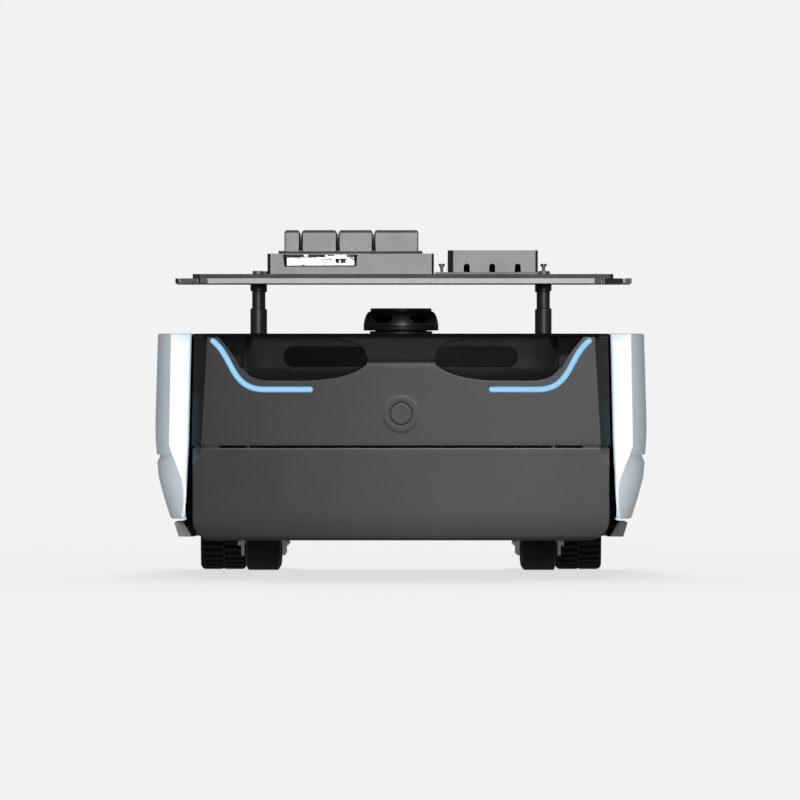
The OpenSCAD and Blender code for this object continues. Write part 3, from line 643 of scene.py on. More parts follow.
# How far inwards each ring of a recess lies, from its rounded lip to near its spine
LIP = 0.2
RING_INSETS = (-LIP, -0.75 * LIP, -0.5 * LIP, -0.25 * LIP, 0.0, 0.2, 0.45, 0.8, 1.2, 1.8, 2.6, 3.6, 4.8, 6.2,
               8.2, 10.4, 12.6, 13.2, 14.5)
NEAR_SPINE = 0.97
# Wall steepness of a recess at its top and sides, and how much steeper it is at its floor
WALL_STEEP = 5.0
FLOOR_STEEPER = 25.0
# Below CHIN_Z the back wall slopes away
CHIN_Z = 202.0
CHIN_SLOPE = 0.6
# The pocket between a light strip and a recess: a depth, and the round end of the recess's back wall
POCKET_AT = (138.0, 211.0)
POCKET_ROUND = 20.0
POCKET_DEEP = 14.0
# The step between the recesses
BRIDGE_Z = 206.0
BRIDGE_X = 62.0
BRIDGE_DEPTH = 18.0
BRIDGE_FILLET = 8.0
SEAM = 2.0
COVER_DEEP = 41.0
SHELF_BELOW_POD = 6.0
CUT_CLEAR = 20.0
WINDOW_Z = 213.75


def pod_outline():
    """Front view of the right-hand recess as (x, z), anticlockwise from its outer top."""
    top = COVER_HIGH.z + 1
    outer = cubic([(158, top), (162, 226), (161, 212), (159, 203)], 10)
    lower_outer = cubic([(159, 203), (155, 194), (147, 190), (132, POD_FLOOR)], 18)
    level = [(x, POD_FLOOR) for x in (124, 114, 104)]
    lower_inner = cubic([(94, POD_FLOOR), (58, 190), (30, 200), (31, 215)], 34)
    upper_inner = cubic([(31, 215), (32, 228), (44, 233), (BRIDGE_X, top)], 18)
    above = [(70, POD_OPEN_TOP), (100, POD_OPEN_TOP), (130, POD_OPEN_TOP), (155, POD_OPEN_TOP)]
    points = outer + lower_outer[1:] + level + lower_inner + upper_inner[1:] + above
    return [Vector(p) for p in points]


def pod_wall_depth(x):
    """Depth of the recess's back wall behind the face, before its fillets."""
    slope = math.tan(POD_YAW)
    centre_x = POD_DEEP[0] + POD_ROUND * math.sin(POD_YAW)
    centre_d = POD_DEEP[1] - POD_ROUND * math.cos(POD_YAW)
    if x <= POD_DEEP[0]:
        return POD_INNER[1] + slope * (x - POD_INNER[0])
    reach = POD_ROUND ** 2 - (x - centre_x) ** 2
    return centre_d + math.sqrt(max(0.0, reach))


def pod_back_depth(x, z):
    """Depth of the back wall at x and z: below its chin it slopes away to the level floor."""
    return pod_wall_depth(x) + CHIN_SLOPE * max(0.0, CHIN_Z - z)


def side_wall_depth(s, steepness):
    """Depth at s inwards of the outline: a rounded lip, then a steep wall."""
    if s < 0:
        return LIP - math.sqrt(max(0.0, LIP ** 2 - (s + LIP) ** 2))
    return LIP + steepness * s


def pod_cutter(side):
    """The space of one recess: rings from its lip inwards to its spine."""
    outline = pod_outline()
    n = len(outline)
    normals = []
    for i in range(n):
        along = (outline[(i + 1) % n] - outline[i - 1]).normalized()
        normals.append(Vector((-along.y, along.x)))
    spine_a, spine_b = (Vector(p) for p in POD_SPINE)
    spine = []
    for p in outline:
        t = min(1.0, max(0.0, (p.x - spine_a.x) / (spine_b.x - spine_a.x)))
        spine.append(spine_a.lerp(spine_b, t))
    if (spine[0] - outline[0]).dot(normals[0]) < 0:
        normals = [-v for v in normals]
    mouth = [p - LIP * m for p, m in zip(outline, normals)]
    verts = [(side * p.x, FACE_Y - CUT_CLEAR, p.y) for p in mouth]
    for s in RING_INSETS:
        for p, m, c in zip(outline, normals, spine):
            q = p + s * m if s <= 0 else p.lerp(c, min(NEAR_SPINE, s / (c - p).length))
            depth = side_wall_depth(s, WALL_STEEP + FLOOR_STEEPER * max(0.0, m.y))
            if s > 0:
                depth = smooth_min(depth, pod_back_depth(q.x, q.y), POD_FILLET)
            verts.append((side * q.x, face_y(q.x) + depth, q.y))
    for c in spine:
        verts.append((side * c.x, face_y(c.x) + pod_back_depth(c.x, c.y), c.y))
    return cutter("pod_cut", verts, tube_faces(len(verts) // n, n))


def pocket_cutter(side):
    """The pocket between a light strip and the rounded outer end of a recess's back wall."""
    top = COVER_HIGH.z + 1
    along_strip = cubic([(184, top), (172, 223), (165.5, 211), (160, 201)], 12)
    back_end = arc(POCKET_AT, POCKET_ROUND, -12, 88, 16)
    outline = [(side * x, z) for x, z in along_strip + back_end + [(POCKET_AT[0], top)]]
    return cutter("pocket_cut", *prism(outline, FACE_Y - CUT_CLEAR, FACE_Y + POCKET_DEEP))


def bridge_cutter():
    """The step back between the recesses, with a rounded edge and a fillet at its foot."""
    profile = [(-CUT_CLEAR, BRIDGE_Z - LIP)] + arc((LIP, BRIDGE_Z - LIP), LIP, 180, 90, 3)
    profile += arc((BRIDGE_DEPTH - BRIDGE_FILLET, BRIDGE_Z + BRIDGE_FILLET), BRIDGE_FILLET, -90, 0, 8)
    profile += [(BRIDGE_DEPTH, POD_OPEN_TOP), (-CUT_CLEAR, POD_OPEN_TOP)]
    steps = 16
    verts = []
    for i in range(steps + 1):
        x = lerp(-BRIDGE_X, BRIDGE_X, i / steps)
        verts += [(x, face_y(x) + d, z) for d, z in profile]
    return cutter("bridge_cut", verts, tube_faces(steps + 1, len(profile)))


def above_seam(z):
    """Share of the way up from the seam to the top of the cover."""
    return (z - BUMPER_HIGH.z) / (COVER_HIGH.z - BUMPER_HIGH.z)


def cover_slant(z):
    """The wings slant in more at the top of the body than at the seam."""
    return lerp(SLANT, SLANT_HIGH, above_seam(z))


def cover_half(z):
    """Half the width of the front cover: its wings stand a little wider above the seam."""
    return HALF_W + lerp(2.2, -0.3, above_seam(z))


def in_painted_shade(polygon):
    """Whether a face of the front cover is in one of its pockets or on a wing, where shade is painted with a
    darker finish.
    """
    x, y, z = abs(polygon.center.x) / MM, polygon.center.y / MM, polygon.center.z / MM
    beyond_round = math.hypot(x - POCKET_AT[0], z - POCKET_AT[1]) - POCKET_ROUND > -0.3
    in_pocket = 150 < x < HALF_W - 18 and y > face_y(x) + 1.5 and z > CHIN_Z and beyond_round
    return in_pocket or (x > HALF_W - 15 and abs(polygon.normal.x) > 0.3)


def build_front_cover():
    low, high = BUMPER_HIGH.z + SEAM, COVER_HIGH.z
    shelf = POD_FLOOR - SHELF_BELOW_POD
    profile = rounded_wall(low, high, 1.0)
    profile += [(COVER_DEEP, high), (COVER_DEEP, shelf), (WALL, shelf), (WALL, low)]
    verts, faces = sweep_cover(profile, cover_half, cover_slant, lambda z: 0.0)
    cover = add_mesh("front_cover_shell", verts, faces, "charcoal_plastic", CHASSIS, ("front_cover",))
    bezel_low, bezel_high = node_box("button_bezel")
    hole = arc((0, (bezel_low.z + bezel_high.z) / 2), 15, 0, 350, 35)
    cutters = [pod_cutter(-1), pod_cutter(1), pocket_cutter(-1), pocket_cutter(1), bridge_cutter()]
    cut(cover, cutters + [cutter("hole", *prism(hole, FACE_Y - CUT_CLEAR, FACE_Y + CUT_CLEAR))])
    shade(cover.data, 32)
    # painted shade: the pockets and the wings get a darker finish
    cover.data.materials.append(MATERIALS["wing_charcoal"])
    for polygon in cover.data.polygons:
        if in_painted_shade(polygon):
            polygon.material_index = 1


def build_seam_tabs():
    """Tabs below the cover that close the ends of the seam, and one rib on each side in it."""
    low, high = BUMPER_HIGH.z + 0.2, BUMPER_HIGH.z + SEAM + 0.4
    rib_x0, rib_x1, end_x = 151, 154, 182
    for side, word in SIDES:
        rib = [[(x, face_y(x) + inset) for x in (rib_x0, rib_x1)] for inset in (0.3, WALL)]
        end = []
        for inset in (0.3, WALL):
            wing = [p for p in end_outline(HALF_W, cover_slant(low), inset) if p[0] > end_x + 3]
            end.append([(end_x, face_y(end_x) + inset)] + wing)
        for part, (outer, inner) in (("rib", rib), ("end", end)):
            plan = outer + inner[::-1]
            verts = [(side * x, y, z) for z in (low, high) for x, y in plan]
            add_mesh(f"seam_{part}_{word}", verts, tube_faces(2, len(plan)), "charcoal_plastic", CHASSIS)


def on_pod_wall(side, u, out, z):
    """A point u along a recess's back wall and out in front of it."""
    x = POD_INNER[0] + u * math.cos(POD_YAW) + out * math.sin(POD_YAW)
    y = FACE_Y + POD_INNER[1] + u * math.sin(POD_YAW) - out * math.cos(POD_YAW)
    return (side * x, y, z)


# ---------------------------------------------------------------- bumper

BUMPER_WALL = 4.0
BUMPER_ROUND = 20.0
BUMPER_LEDGE = 14.0
# Above FOOT_Z the face stands upright; between SHOULDER heights the sides slant in
FOOT_Z = 60.0
SHOULDER = (104.0, 119.0)
GUIDE_X = 150.0
GUIDE_Z = 98.0


def bumper_half(z):
    """Half the bumper's width: its lower corners are rounded in the front view."""
    half = BUMPER_HIGH.x
    rise = z - BUMPER_LOW.z
    if rise >= BUMPER_ROUND:
        return half
    return half - BUMPER_ROUND + math.sqrt(max(0.0, BUMPER_ROUND ** 2 - (BUMPER_ROUND - rise) ** 2))


def bumper_slant(z):
    """The sides slant in only near the seam, which makes the shoulders."""
    return SLANT * smooth_step(*SHOULDER, z)


def bumper_back(z):
    """The face curves under at its foot."""
    return 3.5 * max(0.0, (FOOT_Z - z) / 30) ** 2


def build_bumper():
    low, high = BUMPER_LOW.z, BUMPER_HIGH.z
    radius = 1.0
    foot = arc((radius + 0.6, low + radius), radius, 270, 180, 5)
    under = [(0.0, lerp(low + radius, FOOT_Z, i / 14)) for i in range(1, 14)]
    face = [(0.0, lerp(FOOT_Z, high - radius, i / 18)) for i in range(19)]
    top = arc((radius, high - radius), radius, 180, 90, 5)[1:]
    ledge = low + BUMPER_WALL
    inner = [(BUMPER_WALL, high), (BUMPER_WALL, ledge), (BUMPER_LEDGE, ledge), (BUMPER_LEDGE, low)]
    verts, faces = sweep_cover(foot + under + face + top + inner, bumper_half, bumper_slant, bumper_back)
    add_mesh("bumper_shell", verts, faces, "charcoal_plastic", "bumper", ("bumper",))
    pin = [(0, 0), (4, 0), (4, 33), (3.2, 33.8), (0, 33.8)]
    for side, word in reversed(SIDES):
        place = (side * GUIDE_X, FACE_Y + BUMPER_WALL, GUIDE_Z)
        lathe(word + "_bumper_pin", pin, "charcoal_plastic", "bumper", axis="Y", at=place)


# ---------------------------------------------------------------- side covers

SIDE_LOW, SIDE_HIGH = node_box("left_side_cover")
SIDE_ROUND = 1.6
# The notch slants in from the first height to GROOVE_STEP below the second
GROOVE = (108.5, 115.4)
GROOVE_STEP = 0.6
LEVEL_STEP = 4.0


def interpolate(points, x):
    """A value on straight lines between (x, value) points, and level beyond the ends."""
    if x <= points[0][0]:
        return points[0][1]
    for (x0, v0), (x1, v1) in zip(points, points[1:]):
        if x <= x1:
            return lerp(v0, v1, (x - x0) / (x1 - x0))
    return points[-1][1]


def side_outer(z):
    """Outermost x of a side cover. A notch slants in below its overhanging upper part."""
    start, end = GROOVE
    inwards = [(SIDE_LOW.z, 15.5), (70, 9.5), (92, 3.5), (start, 1.8), (end - GROOVE_STEP, 5), (end, 4.6),
               (end + 0.5, 1.8), (end + 1.5, 1.3), (135, 0), (150, 0), (SIDE_HIGH.z, 2.5)]
    return SIDE_HIGH.x - interpolate(inwards, z)


def side_crease(z):
    """x of the crease between the narrow front and the turned-away side."""
    crease = [(80, 218), (90, 219.5), (105, 225), (115, 229), (125, 232.5), (SIDE_HIGH.z, 230.5)]
    return interpolate(crease, z)


def side_inner(z):
    return SIDE_LOW.x + interpolate([(SIDE_LOW.z, 7.5), (70, 5.5), (130, 2.5), (SIDE_HIGH.z, 0)], z)


def side_section(z, inset):
    """Plan of a side cover's outer skin at height z, from front to back."""
    end_y = SIDE_LOW.y + inset
    inner, crease, outer = side_inner(z), side_crease(z), side_outer(z) - inset
    crease = min(crease, outer - 1)
    corner = min(2.5, 0.4 * (crease - inner))
    front = [(inner, end_y + corner + 3)] + arc((inner + corner, end_y + corner), corner, 180, 270, 5)
    front += [(lerp(inner + corner, crease - 0.8, i / 4), end_y) for i in range(1, 5)]
    bend = cubic([(crease, end_y + 0.5), (lerp(crease, outer, 0.4), end_y + 14), (outer, end_y + 36),
                  (outer, end_y + 86)], 22)
    half = front + bend
    return half + [(outer, y) for y in (-75, 0, 75)] + [(x, -y) for x, y in reversed(half)]


def level_run(start, stop):
    """Plain levels of a side cover from one height to another, (z, inset)."""
    count = math.ceil((stop - start) / LEVEL_STEP)
    return [(start + i * LEVEL_STEP, 0.0) for i in range(count)]


def build_side_cover(side, name, node):
    low, high = SIDE_LOW.z, SIDE_HIGH.z
    r = SIDE_ROUND
    levels = [(low, r), (low + 0.5, 0.45 * r), (low + r, 0.0)]
    levels += level_run(low + r + LEVEL_STEP, GROOVE[0] - 2)
    levels += [(lerp(GROOVE[0], GROOVE[1] - GROOVE_STEP, i / 8), 0.0) for i in range(9)]
    levels += [(GROOVE[1] + dz, 0.0) for dz in (0.0, 0.25, 0.5, 1.5)]
    levels += level_run(GROOVE[1] + 5, high - r - 3)
    levels += [(high - r, 0.0), (high - 0.9, 0.12 * r), (high - 0.35, 0.45 * r), (high, r)]
    verts = []
    for z, inset in levels:
        verts += [(side * x, y, z) for x, y in side_section(z, inset)]
    columns = len(verts) // len(levels)
    faces = grid_faces(len(levels), columns)
    faces.append(list(range(columns)))
    faces.append(list(range((len(levels) - 1) * columns, len(levels) * columns)))
    skin = add_mesh(name, verts, faces, "white_gloss", CHASSIS, (node,), angle=24)
    thick = skin.modifiers.new("thickness", "SOLIDIFY")
    thick.thickness = WALL * MM
    thick.offset = -1


# ---------------------------------------------------------------- light strips

STRIP_W = 5.8
STRIP_PROUD = 0.6
STRIP_ROOT = 1.8
STRIP_Z = 181.0


def build_light_strip(side, name, node):
    """A rounded bar along the lower outer side of a recess, following the bowed face."""
    path = cubic([(188, 229.4), (167, 213), (171, STRIP_Z), (136, STRIP_Z)], 48)
    path = [Vector(p) for p in path + [(x, STRIP_Z) for x in (127, 118, 109, 100, 91)]]
    last = len(path) - 1
    ways = [(path[min(i + 1, last)] - path[max(i - 1, 0)]).normalized() for i in range(last + 1)]
    half_w = STRIP_W / 2
    turns = (1.5, 1.2, 0.8, 0.4)
    start_cap = [(path[0] - ways[0] * half_w * math.sin(a), ways[0], math.cos(a)) for a in turns]
    end_cap = [(path[-1] + ways[-1] * half_w * math.sin(a), ways[-1], math.cos(a)) for a in reversed(turns)]
    stations = start_cap + [(p, d, 1.0) for p, d in zip(path, ways)] + end_cap
    shares = (-1, -0.9, -0.7, -0.4, 0, 0.4, 0.7, 0.9, 1)
    crown = [(t, STRIP_PROUD * math.sqrt(1 - abs(t) ** 4)) for t in shares]
    verts, across = [], []
    for p, d, scale in stations:
        normal = Vector((-d.y, d.x))
        ring = [(t, out * scale) for t, out in crown] + [(1, -STRIP_ROOT), (-1, -STRIP_ROOT)]
        for t, out in ring:
            q = p + normal * (t * half_w * scale)
            verts.append((side * q.x, face_y(q.x) - out, q.y))
            across.append(max(abs(t), 1 - scale))
    faces = tube_faces(len(stations), len(crown) + 2)
    strip = add_mesh(name, verts, faces, "light_guide", CHASSIS, (node,))
    values = strip.data.attributes.new("across", "FLOAT", "POINT")
    values.data.foreach_set("value", across)


# ---------------------------------------------------------------- drive

TYRE_LOW, TYRE_HIGH = node_box("left_tyre")
TYRE_RADIUS = (TYRE_HIGH.z - TYRE_LOW.z) / 2
TYRE_X = (TYRE_LOW.x + TYRE_HIGH.x) / 2
TYRE_HALF = (TYRE_HIGH.x - TYRE_LOW.x) / 2
RIM_RADIUS = 64.0
LUGS = 52
LUG_DEPTH = 3.0
LUG_SAMPLES = 10


def lug_height(phase):
    """Height of the tread at a phase of 0 to 1 along one lug."""
    return smooth_step(0.0, 0.08, phase) * (1 - smooth_step(0.56, 0.64, phase))


def tyre_half_profile():
    """Half a tyre's profile from its rim to its middle line, (x, radius, share of the lug's depth)."""
    r0, w = TYRE_RADIUS, TYRE_HALF
    wall = [(w - 3, RIM_RADIUS, 0.0), (w, RIM_RADIUS + 4, 0.0), (w, r0 - 12, 0.0), (w, r0 - 9, 0.5)]
    shoulder = [(x, r, 1.0) for x, r in arc((w - 5, r0 - 5), 5, 0, 90, 5)]
    tread = [(x, r0, 1.0) for x in (16, 10, 5, 1.4)]
    return wall + shoulder + tread + [(0.8, r0 - 0.5, 0.0), (0.0, r0 - 0.6, 0.0)]


def build_tyre(side, name, node, body):
    """A tyre whose left and right rows of lugs are offset by half a pitch, with a line between."""
    half = tyre_half_profile()
    profile = half + [(-x, r, share) for x, r, share in reversed(half[:-1])]
    steps = LUGS * LUG_SAMPLES
    verts = []
    for x, r, share in profile:
        shift = 0.5 if x < 0 else 0.0
        for j in range(steps):
            phase = (j / LUG_SAMPLES + shift) % 1.0
            radius = r - LUG_DEPTH * share * (1 - lug_height(phase))
            a = 2 * math.pi * j / steps
            verts.append((side * TYRE_X + x, radius * math.sin(a), TYRE_RADIUS - radius * math.cos(a)))
    faces = grid_faces(len(profile), steps, wrap_rows=True, wrap_columns=True)
    add_mesh(name, verts, faces, "tyre_rubber", body, (node,), angle=28)


SPRING_TURNS = 7
SPRING_R = 9.0
SPRING_WIRE = 1.3
# Share of the coil at each end that lies flat
SPRING_FLAT = 0.07


def build_spring(side, name, node):
    """A fine coil between its fixed seat and the moving arm."""
    low, high = node_box(node)
    cx = (low.x + high.x) / 2
    cy = (low.y + high.y) / 2
    steps, sides = 36, 12
    rise = high.z - low.z - 2 * SPRING_WIRE
    rings = SPRING_TURNS * steps
    verts = []
    for i in range(rings + 1):
        ease = min(1.0, max(0.0, (i / rings - SPRING_FLAT) / (1 - 2 * SPRING_FLAT)))
        a = 2 * math.pi * i / steps * side
        z = low.z + SPRING_WIRE + rise * ease
        for j in range(sides):
            b = 2 * math.pi * j / sides
            r = SPRING_R + SPRING_WIRE * math.cos(b)
            verts.append((cx + r * math.cos(a), cy + r * math.sin(a), z + SPRING_WIRE * math.sin(b)))
    coil = add_mesh(name, verts, tube_faces(rings + 1, sides), "spring_steel", None, (node,), angle=40)
    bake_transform(coil)


# ---------------------------------------------------------------- button, windows and scanner


def build_button():
    """Bezel ring, groove, dished button and a generic power mark."""
    low, high = node_box("button_bezel")
    z = (low.z + high.z) / 2
    front, radius = low.y, (high.z - low.z) / 2
    at = (0, 0, z)
    face = front + 0.7
    ring = [(11.5, front + 9), (11.5, front + 1.3), (11.9, front + 0.85), (12.7, face), (radius - 2.6, face)]
    ring += [(radius - 1.2, front + 0.85), (radius, front + 1.25), (14.6, front + 1.3), (14.6, front + 9)]
    lathe("bezel_ring", ring, "charcoal_plastic", CHASSIS, ("button_bezel",), "Y", at, 128)
    sleeve = box_loop(10.85, 11.45, front + 2, front + 10)
    lathe("bezel_sleeve", sleeve, "charcoal_plastic", CHASSIS, (), "Y", at, 96)
    cap = [(0, face + 0.3), (4, face + 0.24), (7, face + 0.1), (9, face), (9.9, face + 0.05)]
    cap += [(10.5, face + 0.3), (10.7, face + 0.8), (10.7, face + 8), (0, face + 8)]
    lathe("power_cap", cap, "button_plastic", "power_button", ("power_button",), "Y", at, 96)
    build_power_mark(face, z)


def build_power_mark(face, z):
    """An open ring and a short bar, just proud of the dished button."""
    turns = [math.radians(lerp(38, 322, i / 26)) for i in range(27)]
    corners = ((2.5, 0.17), (2.5, 0.45), (3.2, 0.45), (3.2, 0.17))
    verts = [(r * math.sin(a), face + deep, z + r * math.cos(a)) for r, deep in corners for a in turns]
    n = len(turns)
    faces = grid_faces(4, n, wrap_rows=True) + [[k * n + end for k in range(4)] for end in (0, n - 1)]
    add_mesh("power_mark_ring", verts, faces, "post_grey", "power_button")
    bar = box_outline(-0.35, 0.35, z + 1.4, z + 4.0)
    add_mesh("power_mark_bar", *prism(bar, face + 0.16, face + 0.45), "post_grey", "power_button")


WINDOW_START = 2.6
WINDOW_L = 86.3
WINDOW_H = 20.5
WINDOW_EDGE = 0.5
WINDOW_DEEP = 1.9
# Places along a window, from its middle, and radii of the rings where the camera's lenses look out
WINDOW_RINGS = ((-28, 4.4), (-6, 3.4), (18, 4.4))


def build_window(side, name, node):
    """A smoked pill-shaped window with a rounded edge, and faint rings on it."""
    r = WINDOW_H / 2
    outline = arc((WINDOW_L - r, 0), r, -90, 90, 16) + arc((r, 0), r, 90, 270, 16)
    rounding = ((0, 1), (0.15, 0.4), (0.6, 0.1), (1.4, 0))
    edge = [(inwards * WINDOW_EDGE, -down * WINDOW_EDGE) for inwards, down in rounding]
    verts = []
    for inset, out in [(0.0, -WINDOW_DEEP)] + edge:
        scale_u = (WINDOW_L - 2 * inset) / WINDOW_L
        scale_z = (WINDOW_H - 2 * inset) / WINDOW_H
        for u, dz in outline:
            v = WINDOW_START + inset + u * scale_u
            verts.append(on_pod_wall(side, v, out - 0.05, WINDOW_Z + dz * scale_z))
    add_mesh(name, verts, tube_faces(len(edge) + 1, len(outline)), "dark_window", CHASSIS, (node,))
    for i, (along, radius) in enumerate(WINDOW_RINGS):
        build_window_ring(side, f"{name}_ring_{i + 1}", WINDOW_START + WINDOW_L / 2 + along, radius)


def build_window_ring(side, name, u, radius):
    """A hair-thin ring printed on a window."""
    steps = 40
    verts = []
    for r, out in ((radius - 0.8, -0.04), (radius - 0.8, 0.02), (radius, 0.02), (radius, -0.04)):
        for j in range(steps):
            a = 2 * math.pi * j / steps
            verts.append(on_pod_wall(side, u + r * math.cos(a), out, WINDOW_Z + r * math.sin(a)))
    add_mesh(name, verts, grid_faces(4, steps, wrap_rows=True, wrap_columns=True), "dark_window", CHASSIS)


LIDAR_LOW, LIDAR_HIGH = node_box("lidar_head")
LIDAR_R = (LIDAR_HIGH.x - LIDAR_LOW.x) / 2
CAP_H = 3.0
CAP_R = 30.8
# The lenses: how far they turn away from the front, half their width in degrees, and their height
LENS_TURN = 32.0
LENS_HALF = 18.0
LENS_BELOW_TOP = 10.8
LENS_H = 7.6


def head_slope():
    """The turning head's slope (radius, z) from its drum up to its shoulder."""
    z0, z1 = LIDAR_LOW.z, LIDAR_HIGH.z - CAP_H
    drum, shoulder = (LIDAR_R, z0 + 5), (CAP_R + 0.2, z1)
    return cubic([drum, (LIDAR_R - 0.8, z1 - 6.5), (LIDAR_R - 3, z1 - 0.5), shoulder], 14)


def build_scanner():
    """The turning head: a drum that narrows to its shoulder, a fine joint line and a low cap."""
    r, z0, z2 = LIDAR_R, LIDAR_LOW.z, LIDAR_HIGH.z
    groove = [(24, z0), (24, z0 + 1.5), (27, z0 + 1.5), (27, z0)]
    skirt = [(10.2, z0 + 6), (10.2, z0)] + groove + arc((r - 1, z0 + 1), 1, -90, 0, 4)
    joint = [(r, z0 + 3.9), (r - 0.3, z0 + 4.1), (r - 0.3, z0 + 4.4), (r, z0 + 4.6)]
    cap = [(CAP_R, z2 - CAP_H + 0.2)] + arc((CAP_R - 1, z2 - 1), 1, 0, 90, 5)
    cap += [(8, z2), (7.6, z2 - 0.25), (0, z2 - 0.25)]
    head = skirt + joint + head_slope() + cap
    lathe("scanner_head", head, "black_plastic", "lidar_head", ("lidar_head",), steps=160)
    # A thin violet band of painted sheen round the drum
    sheen_band = [(r - 1, z0 + 6), (r, z0 + 6), (r - 0.05, z0 + 6.7), (r - 1, z0 + 6.7)]
    lathe("scanner_line", sheen_band, "black_plastic", "lidar_head", steps=160, material=MATERIALS["violet_line"])
    lathe("scanner_seal", box_loop(25, 26, z0 - 1, z0 + 0.8), "black_plastic", CHASSIS, steps=96)


def power(value, exponent):
    """A power that keeps the sign of the value."""
    return math.copysign(abs(value) ** exponent, value)


def build_scanner_lens(side, name):
    """An oval lens that lies on the upper slope of the turning head."""
    slope = sorted((z, radius) for radius, z in head_slope())
    layers = ((1.0, -1.2), (1.0, 0.05), (0.96, 0.2), (0.7, 0.25), (0.35, 0.25))
    steps = 48
    verts = []
    for scale, out in layers:
        for i in range(steps):
            a = 2 * math.pi * i / steps
            turn = LENS_TURN + scale * LENS_HALF * power(math.cos(a), 0.6)
            z = LIDAR_HIGH.z - LENS_BELOW_TOP + 0.5 * scale * LENS_H * power(math.sin(a), 0.8)
            way = math.radians(side * turn - 90)
            reach = interpolate(slope, z) + out
            verts.append((reach * math.cos(way), reach * math.sin(way), z))
    add_mesh(name, verts, tube_faces(len(layers), steps), "dark_window", "lidar_head", ("lidar_lenses",),
             material=MATERIALS["lens_black"])


# ---------------------------------------------------------------- plates, computer and interface box

# Spans of x on the plates' front edges that are painted darker
LOWER_PAINTED_DARK = ((-227, -223.5), (204, 222.8))
LOWER_PAINTED_MID = ((-221.6, -204), (-201.7, -194), (194, 201), (225, 231.5))
UPPER_PAINTED_DARK = ((-212, -201.7), (209.5, 215))
# Spans of x at the two ends of the computer's housing, inside its feet, where shade is painted
HOUSING_PAINTED_SHADE = ((-133.5, -131.0), (30.8, 34.0))
INTERFACE_WALL = 2.0
ARCH_X = (66.0, 91.6, 117.3)
ARCH_R = 3.0
ARCH_Z = 5.6


def build_plates():
    """The two payload plates, painted darker towards their ends."""
    lower = refine("adapter_plate")
    tint_front(lower, LOWER_PAINTED_DARK, "dark_edge")
    tint_front(lower, LOWER_PAINTED_MID, "mid_edge")
    tint_front(refine("top_plate"), UPPER_PAINTED_DARK, "dark_edge")


def build_computer():
    """The computer's housing with painted shade on its upright edges and ends, and its heat sink with painted
    shade on its edges, its top band and its foot.
    """
    housing = refine("computer_case")
    chamfer_front(housing, 1.4, "dark_edge", upright=True)
    tint_front(housing, HOUSING_PAINTED_SHADE, "dark_edge")
    heatsink = refine("computer_heatsink")
    chamfer_front(heatsink, 1.2, "dark_edge")
    low, high = node_box("computer_heatsink")
    # painted half shade along the heat sink's top and foot
    shaded_top_band = (low.x, high.x, high.z - 2.7, high.z + 1)
    shaded_foot_band = (low.x, high.x, low.z, low.z + 2.0)
    tint_front(heatsink, (shaded_top_band, shaded_foot_band), "mid_edge")


def build_sockets():
    """The row of sockets, with painted shade in the gaps round their bright shells, in their mouths at the
    right and at the ends of the row, and painted half shade on some edges.
    """
    low, high = node_box("computer_ports")
    row = refine("computer_ports")
    mouth = (low.z + 3.4, low.z + 7.6)
    top = high.z - 2.6
    # painted shade at the ends, in the gaps and in a mouth; painted half shade on a few edges
    ends = [(low.x, low.x + 2.4), (high.x - 1.8, high.x), (low.x, high.x, low.z, low.z + 1.2)]
    gaps = [(low.x, low.x + 19.5, top, high.z), (low.x + 23.5, low.x + 41, high.z - 2.4, high.z),
            (low.x + 17.5, low.x + 19.5, low.z, low.z + 2.2), (low.x + 51, low.x + 54.6, *mouth)]
    tint_front(row, ends + gaps, "dark_edge")
    half_shade_spans = [(low.x + 56, low.x + 61, *mouth), (low.x + 62, low.x + 69.8, top, high.z),
             (low.x + 43, low.x + 50, high.z - 1.4, high.z),
             (low.x + 5, low.x + 15, high.z - 4.4, high.z - 3.8)]
    tint_front(row, half_shade_spans, "mid_edge")


def build_interface_box():
    """A cover with painted shade at its ends and three arched slots in its front wall."""
    low, high = node_box("interface_box")
    wall = INTERFACE_WALL
    block = prism(box_outline(low.x, high.x, low.z, high.z), low.y, high.y)
    box = add_mesh("interface_shell", *block, "case_grey", CHASSIS, ("interface_box",))
    room = box_outline(low.x + wall, high.x - wall, low.z - 1, high.z - wall)
    cutters = [cutter("room", *prism(room, low.y + wall, high.y - wall))]
    for x in ARCH_X:
        round_top = arc((x, low.z + ARCH_Z), ARCH_R, 0, 180, 16)
        arch = [(x - ARCH_R, low.z - 1), (x + ARCH_R, low.z - 1)] + round_top
        cutters.append(cutter("arch", *prism(arch, low.y - 1, low.y + wall + 1)))
    cut(box, cutters)
    shade(box.data, 30)
    # painted shade at both ends
    tint_front(box, ((low.x - 1, low.x + 5.5), (high.x - 2.5, high.x + 1)), "dark_edge")


# ---------------------------------------------------------------- sills and side panels

PANEL_X = 207.3
SHEET = 1.5
SILL_HALF = 188.0
PANEL_HALF = 199.0
FOLD = 2.0


def build_side_panel(side, word, node):
    """The body's side panel in black with its folded ends, and the grey sill along its lower edge."""
    low, high = node_box(node)
    foot = low.z
    sill = [(206.5, foot), (223, foot), (227.5, foot + 14.5), (217, foot + 14.5)]
    bar = prism([(side * x, z) for x, z in sill], -SILL_HALF, SILL_HALF)
    bevel(add_mesh(word + "_sill_bar", *bar, "sill_grey", CHASSIS, (node,)), 0.8)
    sheet = box_outline(PANEL_X, PANEL_X + SHEET, foot + 1, high.z)
    fold = [(PANEL_X, foot + 0.5), (PANEL_X + 2.5, foot + 0.5), (218.5, foot + 15.5), (218.5, 60), (214, 130),
            (212, high.z), (PANEL_X, high.z)]
    for part, outline, y0, y1 in (("sheet", sheet, -PANEL_HALF, PANEL_HALF),
                                  ("front_fold", fold, -PANEL_HALF - FOLD, -PANEL_HALF),
                                  ("rear_fold", fold, PANEL_HALF, PANEL_HALF + FOLD)):
        outline = [(side * x, z) for x, z in outline]
        add_mesh(f"{word}_panel_{part}", *prism(outline, y0, y1), "deck_black", CHASSIS)


# ---------------------------------------------------------------- assembly

